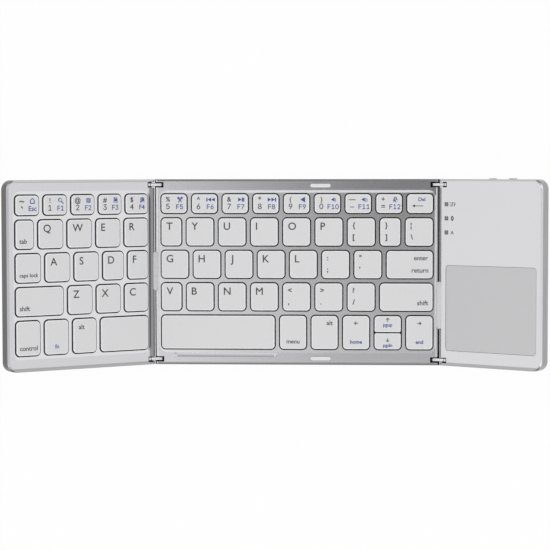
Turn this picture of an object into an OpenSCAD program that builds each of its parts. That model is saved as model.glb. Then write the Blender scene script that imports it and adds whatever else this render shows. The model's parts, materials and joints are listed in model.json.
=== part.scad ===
// Folding keyboard in three panels: a key wing on the left, a key panel in the middle and a touchpad wing
// on the right. Both wings hang on double-pivot link hinges and stand half raised, as when it is opened.
// Each panel is drawn flat in its own place, face up at height zero and x measured from a hinge line or
// from the middle, and is then set on its feet or tilted about its pivots.

/* [Panels] */
// Width of the middle panel, from hinge line to hinge line
centre_w = 147.3; // [146.5:0.1:156]
// Length of the left wing, from its hinge line to its outer edge
left_w = 84.4; // [81:0.2:85.4]
// Length of the right wing, from its hinge line to its outer edge
right_w = 59.8; // [58:0.1:61]
// Depth of all three panels, from front edge to rear edge
panel_d = 95.6; // [93:0.2:104]
// Thickness of a panel without its feet
body_t = 7; // [6.6:0.1:9]
// Corner radius at the wings' outer corners
corner_r = 5; // [4:0.5:6]

/* [Shells] */
// Side wall thickness of every shell
wall = 1.4; // [1.2:0.1:1.8]
// Thickness of the bottom covers
cover_t = 1.4; // [1.2:0.1:1.8]
// Width of the bevel around the top edge
shoulder_w = 1; // [0.6:0.1:1.8]
// Height of the bevel around the top edge
shoulder_h = 0.7; // [0.5:0.1:1.3]
// Size of the bevel around the bottom edge
heel = 0.6; // [0.4:0.1:1.1]

/* [Hinges] */
// Angle that the left wing is raised to
left_open = 36; // [0:1:90]
// Angle that the right wing is raised to
right_open = 32; // [0:1:90]
// Depth of a pivot below the face
pivot_down = 2.8; // [2.5:0.05:2.9]
// Gap between the faces of two panels folded together
fold_gap = 0.6; // [0.5:0.05:0.7]
// Gap between two panels that lie flat
slit = 0.3; // [0.2:0.05:0.4]
// Radius of a link's round ends
link_r = 1.4; // [1.2:0.05:1.5]
// Thickness of a link along the hinge
link_t = 2; // [1.6:0.1:2.2]
// Height of a link's waist
link_waist = 1.8; // [1.2:0.1:2.2]
// Radius of a hinge pin
pin_r = 0.6; // [0.5:0.05:0.7]
// Free space between a link and its pocket
pocket_gap = 0.4; // [0.3:0.05:0.5]
// Depth of a pin's bore in the block beside the pocket
pin_seat = 1.3; // [1:0.1:1.6]

/* [Keys] */
// Width of a letter key's opening
key_w = 15; // [14.4:0.1:15.2]
// Width of the two slim keys beside the left hinge
slim_w = 13; // [12:0.1:14]
// Width of the narrow keys at the middle panel's edges
narrow_w = 11.4; // [10:0.1:12]
// Width of the small keys beside the space bars
foot_key_w = 14.6; // [13.8:0.1:15]
// Width of the tab key's opening
tab_w = 11.2; // [9:0.1:12]
// Width of the caps lock key's opening
caps_w = 15; // [13:0.1:16]
// Width of the left shift key's opening
left_shift_w = 28; // [24:0.1:30]
// Width of the left wing's space key's opening
left_space_w = 29.5; // [26:0.1:32]
// Width of the enter key's opening
enter_w = 24.7; // [21:0.1:27]
// Width of the right shift key's opening
right_shift_w = 28.1; // [24:0.1:30]
// Width of the space bar's opening
space_w = 59.5; // [52:0.1:66]
// Depth of the number row's openings
number_row_d = 10.9; // [10:0.1:11.5]
// Depth of a letter row's openings
letter_row_d = 15.3; // [14.4:0.1:15.8]
// Depth of the bottom row's openings
bottom_row_d = 18.4; // [17:0.1:19]
// Web between two openings side by side
column_web = 1.6; // [1.4:0.1:2]
// Web between two rows
row_web = 1.5; // [1.4:0.1:1.9]
// Gap around each keycap
key_gap = 0.6; // [0.45:0.05:0.65]
// Corner radius of a keycap
cap_r = 1.9; // [1.2:0.1:2.2]
// Bevel around the top of a keycap
cap_bevel = 0.5; // [0.2:0.1:0.6]
// Height of a keycap
cap_h = 2.2; // [1.8:0.1:2.4]
// Thickness of a keycap's top
cap_top = 1; // [0.8:0.1:1.2]
// Thickness of a keycap's skirt
cap_side = 0.9; // [0.7:0.1:1]
// Travel of a key
key_travel = 1.8; // [1.2:0.1:1.9]
// Rear rim, from the rear edge to the first opening
rear_margin = 7.1; // [6.8:0.1:8]
// Front rim, from the front edge to the last opening
front_margin = 7.6; // [7.6:0.1:8.6]
// Rim of the middle panel beside each hinge line
centre_margin = 3.3; // [3.3:0.1:4]
// Rim of the left wing beside its hinge line
left_hinge_margin = 4.5; // [3.4:0.1:4.6]
// Rim of the left wing along its outer edge
left_outer_margin = 4.2; // [4.2:0.1:5]
// Depth of the tray that the keys stand in
tray_depth = 1; // [0.6:0.1:1.2]
// Thickness of the grid between the keys
grid_t = 1.2; // [1:0.1:1.4]
// Tray floor beyond the keys at the sides
tray_side = 1; // [0.6:0.1:1.2]
// Tray floor beyond the keys at the front and rear
tray_end = 1.6; // [1:0.1:1.8]
// Corner radius of a tray
tray_r = 4; // [3:0.5:5]

/* [Key support] */
// Thickness of the steel plate under the keys
base_t = 0.5; // [0.4:0.05:0.6]
// Thickness of the switch membrane
membrane_t = 0.3; // [0.2:0.05:0.4]
// Base radius of a rubber dome
dome_r = 3.2; // [2.8:0.1:3.3]
// Top radius of a rubber dome
dome_top_r = 1.7; // [1.4:0.1:2]

/* [Middle panel trim] */
// Left end of the thumb scoop, from the panel's middle
scoop_left = -65.2; // [-66:0.2:-60]
// Right end of the thumb scoop, from the panel's middle
scoop_right = -8.2; // [-12:0.2:-6]
// How far the thumb scoop reaches forward of the space bar
scoop_reach = 3.6; // [3:0.1:4]
// How far the scoop's ends slant inward
scoop_slant = 3.6; // [2:0.1:4.5]
// Length of a bumper pad
pad_l = 10.4; // [8:0.1:12]
// Width of a bumper pad
pad_w = 1.9; // [1.6:0.1:2.1]
// How far a bumper pad stands out of the face
pad_proud = 0.4; // [0.2:0.05:0.4]
// Depth of a bumper pad's recess
pad_sunk = 0.6; // [0.4:0.05:0.7]
// Distance of a bumper pad from the front or rear edge
pad_in = 3.3; // [3.2:0.1:3.8]

/* [Flex cables] */
// Length of the left cable along the hinge
left_cable_l = 19.3; // [14:0.1:24]
// Distance of the left cable's middle from the front edge
left_cable_front = 48.2; // [38:0.1:58]
// Length of the right cable along the hinge
right_cable_l = 23.9; // [18:0.1:26]
// Distance of the right cable's middle from the front edge
right_cable_front = 30.9; // [24:0.1:58]
// Thickness of a flex cable with its cover
cable_t = 0.3; // [0.2:0.05:0.4]
// Depth of the notch that a cable crosses the hinge in
notch_down = 1.6; // [1.5:0.05:1.8]

/* [Touchpad wing] */
// Touchpad depth, front to rear
touch_d = 43.6; // [38:0.1:45]
// Rim between the hinge line and the touchpad
touch_in = 4.8; // [4.8:0.1:5.4]
// Rim between the touchpad and the outer edge
touch_out = 3.3; // [3:0.1:5]
// Rim between the touchpad and the front edge
touch_front = 8; // [7.8:0.1:9]
// Thickness of the touchpad's surface plate
touch_t = 0.8; // [0.6:0.1:1]
// Thickness of the touchpad's sensor board
sensor_t = 0.7; // [0.5:0.1:0.8]
// Groove around the touchpad
touch_gap = 0.15; // [0.1:0.05:0.25]
// Place of the first indicator, from the hinge line
lamp_x = 5; // [5:0.1:9]
// Place of the rearmost indicator, from the rear edge
lamp_rear = 12.8; // [10:0.1:16]
// Distance between two indicators
lamp_pitch = 7.2; // [5:0.1:8]
// Size of an indicator's window
lamp_size = 2; // [1.4:0.1:2.2]

/* [Rear edge controls] */
// Distance from the pairing button to the power switch, middle to middle
control_pitch = 10.7; // [9.6:0.1:12]
// Length of the pairing button
button_l = 3.6; // [3:0.1:4]
// Travel of the pairing button
button_travel = 0.4; // [0.3:0.05:0.5]
// Middle of the power switch's recess, from the wing's outer edge
switch_out = 18.9; // [16:0.1:19]
// Length of the power switch's recess
switch_recess_l = 8.5; // [8:0.1:9]
// Length of the power switch's knob
knob_l = 3.9; // [3:0.1:4.2]
// Travel of the power switch
knob_travel = 2.5; // [2:0.1:2.8]
// How far button and knob stand out of the rear edge
control_proud = 0.5; // [0.3:0.1:0.8]
// Height of button and knob
control_h = 1.6; // [1.2:0.1:1.8]
// Middle of the charging socket, from the hinge line
socket_x = 18.6; // [18.4:0.2:22]
// Width of the charging socket
socket_w = 7.6; // [7.4:0.1:8]
// Height of the charging socket
socket_h = 2.6; // [2.4:0.1:2.8]
// Length of the charging socket
socket_l = 5.4; // [5:0.1:6]

/* [Electronics] */
// Main board depth, front to rear
board_d = 26; // [22:0.5:32]
// Main board thickness
board_t = 0.8; // [0.6:0.1:1]
// Battery length along the wing
battery_l = 44; // [36:0.5:48]
// Battery depth, front to rear
battery_d = 34; // [28:0.5:38]
// Battery thickness
battery_t = 2.3; // [1.8:0.1:2.4]

/* [Feet and screws] */
// Height that a foot stands out
foot_h = 0.8; // [0.5:0.1:1.5]
// Length of a foot
foot_l = 14; // [10:0.5:18]
// Width of a foot
foot_w = 4; // [3:0.5:5]
// Depth of a foot's seat in the cover
foot_seat = 0.3; // [0.2:0.05:0.4]
// Distance of a foot from the front or rear edge
foot_in = 9.5; // [9:0.5:12]
// Radius of a screw's shank
screw_r = 0.7; // [0.6:0.05:0.9]
// Radius of a screw's head
screw_head_r = 1.5; // [1.3:0.1:1.7]
// Height of a screw's head
screw_head_h = 0.7; // [0.5:0.1:0.8]
// Radius of a screw boss
boss_r = 2.1; // [1.8:0.1:2.2]

/* [Hidden] */
$fn = 32;

silver = [0.80, 0.80, 0.81];
pale = [0.86, 0.86, 0.87];
grey = [0.55, 0.56, 0.58];
dark = [0.16, 0.17, 0.18];
steel = [0.66, 0.67, 0.69];
touch_grey = [0.76, 0.76, 0.77];
board_green = [0.13, 0.35, 0.22];

// Radial room of a running or loose fit
fit_clear = 0.05;

half_d = panel_d / 2;
face_z = foot_h + body_t;
parting = cover_t - body_t;
far = 2 * panel_d;
over = 1;

// Heights inside a key panel, measured down from the face
grid_under = -(tray_depth + grid_t);
base_top = parting + base_t;
membrane_top = base_top + membrane_t;
dome_gap = 0.1;
dome_rim = 0.3;

// The rows of keys. A row's widths, and the rows' depths, are scaled together to fill their block.
centre_block_w = centre_w - 2 * centre_margin;
left_block_w = left_w - left_hinge_margin - left_outer_margin;
centre_x0 = -centre_block_w / 2;
left_x0 = left_outer_margin - left_w;
rows_rear = half_d - rear_margin;
rows_front = front_margin - half_d;

function total(v, n) = n <= 0 ? 0 : v[n - 1] + total(v, n - 1);
function repeated(w, n) = [for (i = [1:n]) w];
function filled(sizes, space, web) =
    let (n = len(sizes), scale = (space - (n - 1) * web) / total(sizes, n))
    [for (size = sizes) size * scale];
function filled_rows(rows, block_w) = [for (row = rows) filled(row, block_w, column_web)];

left_rows = filled_rows([
    repeated(key_w, 5),
    concat([tab_w], repeated(key_w, 4)),
    [caps_w, key_w, key_w, slim_w, slim_w],
    concat([left_shift_w], repeated(key_w, 3)),
    concat(repeated(foot_key_w, 3), [left_space_w])
], left_block_w);
centre_rows = filled_rows([
    repeated(key_w, 9),
    concat([narrow_w], repeated(key_w, 6), [narrow_w, key_w]),
    concat(repeated(key_w, 7), [enter_w]),
    concat([narrow_w], repeated(key_w, 6), [right_shift_w]),
    concat([space_w], repeated(foot_key_w, 5))
], centre_block_w);
row_d = filled(
    concat([number_row_d], repeated(letter_row_d, 3), [bottom_row_d]), rows_rear - rows_front, row_web
);
arrow_column = 4;

// An opening is [x, y, width, depth] from its left front corner.
function opening(rows, x0, r, c) = [
    x0 + total(rows[r], c) + c * column_web,
    rows_rear - total(row_d, r + 1) - r * row_web,
    rows[r][c],
    row_d[r]
];
function cap_box(o) = [o[0] + key_gap, o[1] + key_gap, o[2] - 2 * key_gap, o[3] - 2 * key_gap];
// The up and down arrows share one opening: half 1 is the rear key and half 0 is the front key.
function half_cap_box(o, half) =
    let (d = (o[3] - 3 * key_gap) / 2)
    [o[0] + key_gap, o[1] + key_gap + half * (d + key_gap), o[2] - 2 * key_gap, d];

// Hinge layout. The pivots lie half the folding gap further out than down, so that the faces clear.
pivot_out = pivot_down + fold_gap / 2;
roll_r = pivot_out - slit / 2;
link_span = 2 * pivot_out;
pocket_w = link_t + 2 * pocket_gap;
pocket_in = pivot_out + link_r + 1.5 * pocket_gap;
pocket_rear = half_d - wall;
pocket_mid = pocket_rear - pocket_w / 2;
pin_l = pocket_w + pin_seat + wall / 2;
block_in = pocket_in + wall;
block_web = 0.8;
block_d = wall + pocket_w + pin_seat + block_web;
pin_end_gap = 0.1;

// A flex cable lies just above its notch's floor and dives behind the wall.
cable_clear = 0.05;
cable_z = 2 * cable_clear - notch_down;
cable_tail = 4;
left_cable_y = left_cable_front - half_d;
right_cable_y = right_cable_front - half_d;
dive_x = wall + slit / 2;
dive_w = cable_t + 2 * cable_clear;

// Screws, feet, plates and pads
boss_in_wall = 0.3;
boss_y = half_d - wall - boss_r + boss_in_wall;
screw_bore = 3.2;
screw_end_gap = 0.2;
head_clear = 0.1;
counterbore_h = screw_head_h + head_clear;
foot_y = half_d - foot_in;
centre_screw_in = 13.5;
centre_screw_x = [for (s = [-1:1]) s * (centre_w / 2 - centre_screw_in)];
wing_screw_in = 11;
wing_screw_out = 7;
left_screw_x = [wing_screw_in, left_w - wing_screw_out];
right_screw_x = [wing_screw_in, right_w - wing_screw_out];
centre_foot_in = 20;
centre_foot_x = centre_w / 2 - centre_foot_in;
wing_foot_out = 14;
plate_clear = 0.3;
pad_clear = 0.2;
plate_y = half_d - block_d - plate_clear;

// Touchpad
touch_l = right_w - touch_in - touch_out;
touch_y0 = touch_front - half_d;
touch_rear = touch_y0 + touch_d;
touch_r = 1.5;
touch_sunk = 0.05;
touch_shelf = 0.9;
touch_floor = -(touch_t + sensor_t + touch_shelf);
sensor_in = 2;
lamp_y = half_d - lamp_rear;
lens_h = 1.6;
lens_sunk = 0.1;

// Boards, battery and rear edge controls
post_h = 0.4;
post_r = 1.2;
post_in = 2;
rear_post_in = 9;
boss_gap = 0.9;
board_under = parting + post_h;
board_top = board_under + board_t;
board_x0 = wing_screw_in + boss_r + boss_gap;
board_l = right_w - wing_screw_out - boss_r - boss_gap - board_x0;
board_rear = half_d - wall - 0.5;
board_front = board_rear - board_d;
battery_in = 3;
control_z = board_top + socket_h / 2;
control_gap = 0.12;
controller_at = [22, 4];
controller_size = [7, 7, 1];
radio_at = [5, 3];
radio_size = [10, 8, 1.4];
tact_l = 4;
tact_d = 3.2;
control_y0 = board_rear - 0.3;
tact_rear = control_y0 - button_travel - 0.1;
switch_body_d = 3.6;
switch_body_l = knob_l + knob_travel + 1.6;
recess_in = 0.5;
recess_h = control_h + 0.8;
switch_x = right_w - switch_out;
button_x = switch_x - control_pitch;
knob_x0 = switch_x - 1.15;
knob_slot_x = knob_x0 + (knob_l - knob_travel) / 2;
socket_clear = 0.2;

// Distance from the hinge line to the far end of a raised wing, seen from above
function wing_reach(w, open) =
    -pivot_out + link_span * cos(open / 2) + (w - pivot_out) * cos(open)
    + (body_t - heel - pivot_down) * sin(open);
middle_x = (wing_reach(left_w, left_open) - wing_reach(right_w, right_open)) / 2;

// Places a thing drawn on the middle panel.
module on_centre() {
    translate([middle_x, 0, face_z]) children();
}

// Swings a thing about a raised wing's outer pivot. side is -1 for the left hinge and 1 for the right.
module at_pivot(side, open) {
    translate([
        middle_x + side * (centre_w / 2 - pivot_out + link_span * cos(open / 2)),
        0,
        face_z - pivot_down + link_span * sin(open / 2)
    ])
        rotate([0, -side * open, 0])
            translate([-side * pivot_out, 0, pivot_down])
                children();
}

module on_left() {
    at_pivot(-1, left_open) children();
}

module on_right() {
    at_pivot(1, right_open) children();
}

// Swings a thing about the inner pivot by half the wing's angle, with the inner pivot at its origin.
module on_link(side, open) {
    translate([middle_x + side * (centre_w / 2 - pivot_out), 0, face_z - pivot_down])
        rotate([0, -side * open / 2, 0])
            children();
}

// Flat shape with round corners, from its left front corner
module rounded(size, r) {
    translate([r, 0]) square([size.x - 2 * r, size.y]);
    translate([0, r]) square([size.x, size.y - 2 * r]);
    for (x = [r, size.x - r], y = [r, size.y - r])
        translate([x, y]) circle(r);
}

// Oblong with round ends, centred, long along x
module oblong(l, w) {
    square([l - w, w], center = true);
    for (s = [-1, 1])
        translate([s * (l - w) / 2, 0]) circle(w / 2);
}

// Cylinder along y from y0 to y1, at the x and z given
module rod(x, z, r, y0, y1) {
    translate([x, y1, z]) rotate([90, 0, 0]) cylinder(r = r, h = y1 - y0);
}

// Draws a thing at the rear edge and again, mirrored, at the front edge.
module both_edges() {
    children();
    mirror([0, 1, 0]) children();
}

// Cross-section that takes a bevel off an edge at the origin. The panel lies on the negative side.
module bevel_section(w, h) {
    polygon([[-w, 0], [0, -h], [over, -h], [over, over], [-w, over]]);
}

// Takes the bevel off a straight rear edge, from x0 to x1 at height z.
module rear_bevel(x0, x1, w, h) {
    translate([x0, half_d, 0])
        rotate([90, 0, 90])
            linear_extrude(x1 - x0)
                bevel_section(w, h);
}

// Takes the bevel off a wing's two long edges, outer corners and outer end.
module wing_bevel(length, w, h) {
    both_edges() {
        rear_bevel(-over, length - corner_r, w, h);
        translate([length - corner_r, half_d - corner_r, 0])
            rotate_extrude(angle = 90)
                translate([corner_r, 0]) bevel_section(w, h);
    }
    translate([length, corner_r - half_d, 0])
        rotate([90, 0, 0])
            mirror([0, 0, 1])
                linear_extrude(panel_d - 2 * corner_r)
                    bevel_section(w, h);
}

// Outline of a wing from the slit to its outer edge
module wing_outline(length) {
    translate([slit / 2, -half_d]) square([length - corner_r - slit / 2, panel_d]);
    translate([slit / 2, corner_r - half_d]) square([length - slit / 2, panel_d - 2 * corner_r]);
    for (s = [-1, 1])
        translate([length - corner_r, s * (half_d - corner_r)]) circle(corner_r);
}

// Takes off the edge that rolls about the pivot, so that the gap to the next panel stays the same.
module rolled_edge() {
    difference() {
        translate([-over, -far / 2, -pivot_down]) cube([pivot_out + over, far, pivot_down + over]);
        rod(pivot_out, -pivot_down, roll_r, -far / 2, far / 2);
    }
}

// Slab of the middle panel between two heights
module centre_slab(z0, z1) {
    translate([(slit - centre_w) / 2, -half_d, z0]) cube([centre_w - slit, panel_d, z1 - z0]);
}

// Slab of a wing between two heights
module wing_slab(length, z0, z1) {
    translate([0, 0, z0]) linear_extrude(z1 - z0) wing_outline(length);
}

// Draws a thing at each hinge line of the middle panel, as seen from the hinge line inward.
module both_hinge_lines() {
    translate([-centre_w / 2, 0, 0]) children();
    mirror([1, 0, 0]) translate([-centre_w / 2, 0, 0]) children();
}

// Solid block that holds the pins beside a hinge pocket
module hinge_blocks() {
    both_edges()
        translate([0, half_d - block_d, -far / 2]) cube([block_in, block_d, far]);
}

// Pockets that the links turn in, and the bores of their pins
module hinge_pockets() {
    floor_z = -(pivot_down + link_r + pocket_gap);
    both_edges() {
        translate([-over, pocket_mid - pocket_w / 2, floor_z])
            cube([pocket_in + over, pocket_w, over - floor_z]);
        rod(pivot_out, -pivot_down, pin_r + fit_clear, pocket_mid - pocket_w / 2 - pin_seat,
            pocket_mid - pocket_w / 2 - pin_seat + pin_l);
    }
}

// Notch over the rim for a flex cable, and the slot where the cable dives into the panel
module cable_notch(cable_l, cable_y) {
    room = plate_clear;
    translate([-over, cable_y - cable_l / 2 - room, -notch_down])
        cube([over + dive_x + dive_w, cable_l + 2 * room, notch_down + over]);
    translate([dive_x, cable_y - cable_l / 2 - room, grid_under - over])
        cube([dive_w, cable_l + 2 * room, over - grid_under]);
}

// Screw bosses that hang from the underside of a frame
module bosses(places) {
    both_edges()
        for (x = places)
            translate([x, boss_y, parting]) cylinder(r = boss_r, h = body_t - cover_t - tray_depth);
}

module boss_bores(places) {
    both_edges()
        for (x = places)
            translate([x, boss_y, parting - over]) cylinder(r = screw_r + fit_clear, h = screw_bore + over);
}

module screw(x) {
    translate([x, boss_y, -body_t]) {
        cylinder(r = screw_head_r, h = screw_head_h);
        cylinder(r = screw_r, h = cover_t + screw_bore - screw_end_gap);
    }
}

// Screw holes and foot seats of a bottom cover
module cover_cuts(screw_places, foot_places) {
    both_edges() {
        for (x = screw_places)
            translate([x, boss_y, -body_t - over]) {
                cylinder(r = screw_r + fit_clear, h = far);
                cylinder(r = screw_head_r + head_clear, h = counterbore_h + over);
            }
        for (x = foot_places)
            translate([x, foot_y, -body_t - over])
                linear_extrude(foot_seat + over) oblong(foot_l + 2 * fit_clear, foot_w + 2 * fit_clear);
    }
}

module foot(x) {
    translate([x, foot_y, -body_t - foot_h]) linear_extrude(foot_h + foot_seat) oblong(foot_l, foot_w);
}

// Tray and key openings of one block of keys
module key_cuts(rows, x0, block_w) {
    tray = [block_w + 2 * tray_side, rows_rear - rows_front + 2 * tray_end];
    translate([x0 - tray_side, rows_front - tray_end, -tray_depth])
        linear_extrude(tray_depth + over) rounded(tray, tray_r);
    for (r = [0:len(rows) - 1], c = [0:len(rows[r]) - 1]) {
        o = opening(rows, x0, r, c);
        translate([o[0], o[1], grid_under - over])
            linear_extrude(grid_t + 2 * over) rounded([o[2], o[3]], cap_r + key_gap);
    }
}

// Hollow under a frame's grid, kept clear of the hinge blocks
module frame_hollow(x0, x1) {
    translate([x0, wall - half_d, parting - over])
        cube([x1 - x0, panel_d - 2 * wall, grid_under - parting + over]);
}

// Shallow scoop in the front rim, where a thumb reaches the space bar
module thumb_scoop() {
    y1 = rows_front;
    y0 = rows_front - scoop_reach;
    intersection() {
        translate([scoop_left, 0, 0])
            rotate([90, 0, 90])
                linear_extrude(scoop_right - scoop_left)
                    polygon([[y1, -tray_depth], [y1, over], [y0, over], [y0, 0]]);
        translate([0, 0, -over])
            linear_extrude(2 * over)
                polygon([
                    [scoop_left, y1], [scoop_right, y1],
                    [scoop_right - scoop_slant, y0], [scoop_left + scoop_slant, y0]
                ]);
    }
}

// Keycap with a bevelled top edge and a hollow underside, from its left front corner
module keycap(box) {
    w = box[2];
    d = box[3];
    translate([box[0], box[1], -cap_h])
        difference() {
            union() {
                translate([cap_r, 0, 0])
                    rotate([90, 0, 90]) linear_extrude(w - 2 * cap_r) cap_section(d);
                translate([0, d - cap_r, 0])
                    rotate([90, 0, 0]) linear_extrude(d - 2 * cap_r) cap_section(w);
                for (x = [cap_r, w - cap_r], y = [cap_r, d - cap_r])
                    translate([x, y, 0])
                        rotate_extrude()
                            polygon([
                                [0, 0], [cap_r, 0], [cap_r, cap_h - cap_bevel],
                                [cap_r - cap_bevel, cap_h], [0, cap_h]
                            ]);
            }
            translate([cap_side, cap_side, -over])
                cube([w - 2 * cap_side, d - 2 * cap_side, cap_h - cap_top + over]);
        }
}

// Upright cross-section of a keycap of width w
module cap_section(w) {
    polygon([
        [0, 0], [w, 0], [w, cap_h - cap_bevel], [w - cap_bevel, cap_h],
        [cap_bevel, cap_h], [0, cap_h - cap_bevel]
    ]);
}

module left_caps(r, columns) {
    color(pale)
        on_left()
            for (c = columns) keycap(cap_box(opening(left_rows, left_x0, r, c)));
}

module centre_caps(r, columns) {
    color(pale)
        on_centre()
            for (c = columns) keycap(cap_box(opening(centre_rows, centre_x0, r, c)));
}

module arrow_cap(half) {
    color(pale)
        on_centre() keycap(half_cap_box(opening(centre_rows, centre_x0, 4, arrow_column), half));
}

// Rubber dome under a keycap, from the membrane to just under the cap. Its cone gives way by the travel.
module dome(box) {
    r = min(dome_r, min(box[2], box[3]) / 2 - cap_side - dome_gap);
    top_r = min(dome_top_r, r - dome_rim);
    h = -cap_top - dome_gap - membrane_top;
    translate([box[0] + box[2] / 2, box[1] + box[3] / 2, membrane_top])
        rotate_extrude()
            polygon([
                [0, 0], [r, 0], [r, dome_rim], [top_r, dome_rim + key_travel], [top_r, h], [0, h]
            ]);
}

module domes(rows, x0, split_row, split_column) {
    for (r = [0:len(rows) - 1], c = [0:len(rows[r]) - 1]) {
        o = opening(rows, x0, r, c);
        if (r == split_row && c == split_column)
            for (half = [0, 1]) dome(half_cap_box(o, half));
        else
            dome(cap_box(o));
    }
}

// Middle panel
module centre_key_frame() {
    color(silver)
        on_centre()
            difference() {
                centre_slab(parting, 0);
                difference() {
                    frame_hollow((slit - centre_w) / 2 + wall, (centre_w - slit) / 2 - wall);
                    both_hinge_lines() hinge_blocks();
                    bosses(centre_screw_x);
                }
                both_edges() rear_bevel(-centre_w, centre_w, shoulder_w, shoulder_h);
                both_hinge_lines() {
                    rolled_edge();
                    hinge_pockets();
                }
                boss_bores(centre_screw_x);
                key_cuts(centre_rows, centre_x0, centre_block_w);
                thumb_scoop();
                translate([-centre_w / 2, 0, 0]) cable_notch(left_cable_l, left_cable_y);
                mirror([1, 0, 0])
                    translate([-centre_w / 2, 0, 0]) cable_notch(right_cable_l, right_cable_y);
                both_edges()
                    pad_place()
                        linear_extrude(pad_sunk + over)
                            oblong(pad_l + 2 * pad_clear, pad_w + 2 * pad_clear);
            }
}

module pad_place() {
    translate([(left_w - right_w) / 2, half_d - pad_in, -pad_sunk]) children();
}

module bumper_pads() {
    color(pale)
        on_centre()
            both_edges() pad_place() linear_extrude(pad_sunk + pad_proud) oblong(pad_l, pad_w);
}

module centre_bottom_cover() {
    color(grey)
        on_centre()
            difference() {
                centre_slab(-body_t, parting);
                both_edges()
                    translate([0, 0, -body_t])
                        mirror([0, 0, 1]) rear_bevel(-centre_w, centre_w, heel, heel);
                cover_cuts(centre_screw_x, [-centre_foot_x, centre_foot_x]);
            }
}

module centre_base_plate() {
    color(steel)
        on_centre()
            translate([0, 0, parting])
                linear_extrude(base_t)
                    square([centre_w - slit - 2 * wall - 2 * plate_clear, 2 * plate_y], center = true);
}

module centre_membrane() {
    color(dark)
        on_centre()
            translate([0, 0, base_top])
                linear_extrude(membrane_t)
                    square([centre_w - slit - 2 * wall - 2 * plate_clear, 2 * plate_y], center = true);
}

module centre_rubber_domes() {
    color(dark) on_centre() domes(centre_rows, centre_x0, 4, arrow_column);
}

module centre_feet() {
    color(dark) on_centre() both_edges() for (s = [-1, 1]) foot(s * centre_foot_x);
}

module centre_screws() {
    color(steel) on_centre() both_edges() for (x = centre_screw_x) screw(x);
}

// Left wing. Its shells are drawn as a right wing and mirrored.
module left_key_frame() {
    color(silver)
        on_left()
            difference() {
                mirror([1, 0, 0])
                    difference() {
                        wing_slab(left_w, parting, 0);
                        difference() {
                            frame_hollow(slit / 2 + wall, left_w - wall);
                            hinge_blocks();
                            bosses(left_screw_x);
                            outer_corner_fill(left_w);
                        }
                        wing_bevel(left_w, shoulder_w, shoulder_h);
                        rolled_edge();
                        hinge_pockets();
                        boss_bores(left_screw_x);
                        cable_notch(left_cable_l, left_cable_y);
                    }
                key_cuts(left_rows, left_x0, left_block_w);
            }
}

// Keeps the wall's thickness at a wing's round outer corners.
module outer_corner_fill(length) {
    both_edges()
        difference() {
            translate([length - corner_r, half_d - corner_r, -far / 2]) cube([corner_r, corner_r, far]);
            translate([length - corner_r, half_d - corner_r, -far / 2 - over])
                cylinder(r = corner_r - wall, h = far + 2 * over);
        }
}

// Bottom cover of a wing, drawn as a right wing
module wing_cover(length) {
    difference() {
        wing_slab(length, -body_t, parting);
        translate([0, 0, -body_t]) mirror([0, 0, 1]) wing_bevel(length, heel, heel);
        cover_cuts([wing_screw_in, length - wing_screw_out], [length - wing_foot_out]);
    }
}

module left_bottom_cover() {
    color(grey) on_left() mirror([1, 0, 0]) wing_cover(left_w);
}

// Flat sheet inside the left wing, at height z and of thickness t
module left_sheet(z, t) {
    x0 = slit / 2 + wall + plate_clear;
    translate([-left_w + wall + plate_clear, -plate_y, z])
        cube([left_w - wall - plate_clear - x0, 2 * plate_y, t]);
}

module left_base_plate() {
    color(steel) on_left() left_sheet(parting, base_t);
}

module left_membrane() {
    color(dark) on_left() left_sheet(base_top, membrane_t);
}

module left_rubber_domes() {
    color(dark) on_left() domes(left_rows, left_x0, -1, -1);
}

module left_feet() {
    color(dark) on_left() mirror([1, 0, 0]) both_edges() foot(left_w - wing_foot_out);
}

module left_screws() {
    color(steel) on_left() mirror([1, 0, 0]) both_edges() for (x = left_screw_x) screw(x);
}

// Right wing
module right_top_cover() {
    color(silver)
        on_right()
            difference() {
                wing_slab(right_w, parting, 0);
                difference() {
                    translate([slit / 2 + wall, wall - half_d, parting - over])
                        cube([right_w - slit / 2 - 2 * wall, panel_d - 2 * wall, -wall - parting + over]);
                    hinge_blocks();
                    bosses(right_screw_x);
                    outer_corner_fill(right_w);
                    translate([0, -half_d, touch_floor]) cube([right_w, touch_rear + half_d + wall, far]);
                }
                wing_bevel(right_w, shoulder_w, shoulder_h);
                rolled_edge();
                hinge_pockets();
                boss_bores(right_screw_x);
                cable_notch(right_cable_l, right_cable_y);
                translate([touch_in - touch_gap, touch_y0 - touch_gap, -touch_t - sensor_t])
                    linear_extrude(far)
                        rounded([touch_l + 2 * touch_gap, touch_d + 2 * touch_gap], touch_r + touch_gap);
                for (i = [0:2])
                    translate([lamp_x, lamp_y - i * lamp_pitch, far / 2 - 2 * wall])
                        cube([lamp_size + 2 * fit_clear, lamp_size + 2 * fit_clear, far], center = true);
                rear_edge_cuts();
            }
}

// Openings in the right wing's rear wall
module rear_edge_cuts() {
    rear_cut(button_x, button_l + 2 * control_gap, control_h + 2 * control_gap, 2 * wall);
    rear_cut(switch_x, switch_recess_l, recess_h, recess_in);
    rear_cut(knob_slot_x, knob_l + knob_travel + 2 * control_gap, control_h + 2 * control_gap, 2 * wall);
    rear_cut(socket_x, socket_w + 2 * socket_clear, socket_h + 2 * socket_clear, 2 * wall);
}

// Cuts a slot of width w and height h into the rear wall, with its middle at x.
module rear_cut(x, w, h, depth) {
    translate([x - w / 2, half_d - depth, control_z - h / 2]) cube([w, depth + over, h]);
}

module right_bottom_cover() {
    color(grey)
        on_right() {
            wing_cover(right_w);
            for (x = [post_in, board_l - post_in], y = [post_in, board_d - rear_post_in])
                translate([board_x0 + x, board_front + y, parting - heel / 2])
                    cylinder(r = post_r, h = post_h + heel / 2);
        }
}

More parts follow.
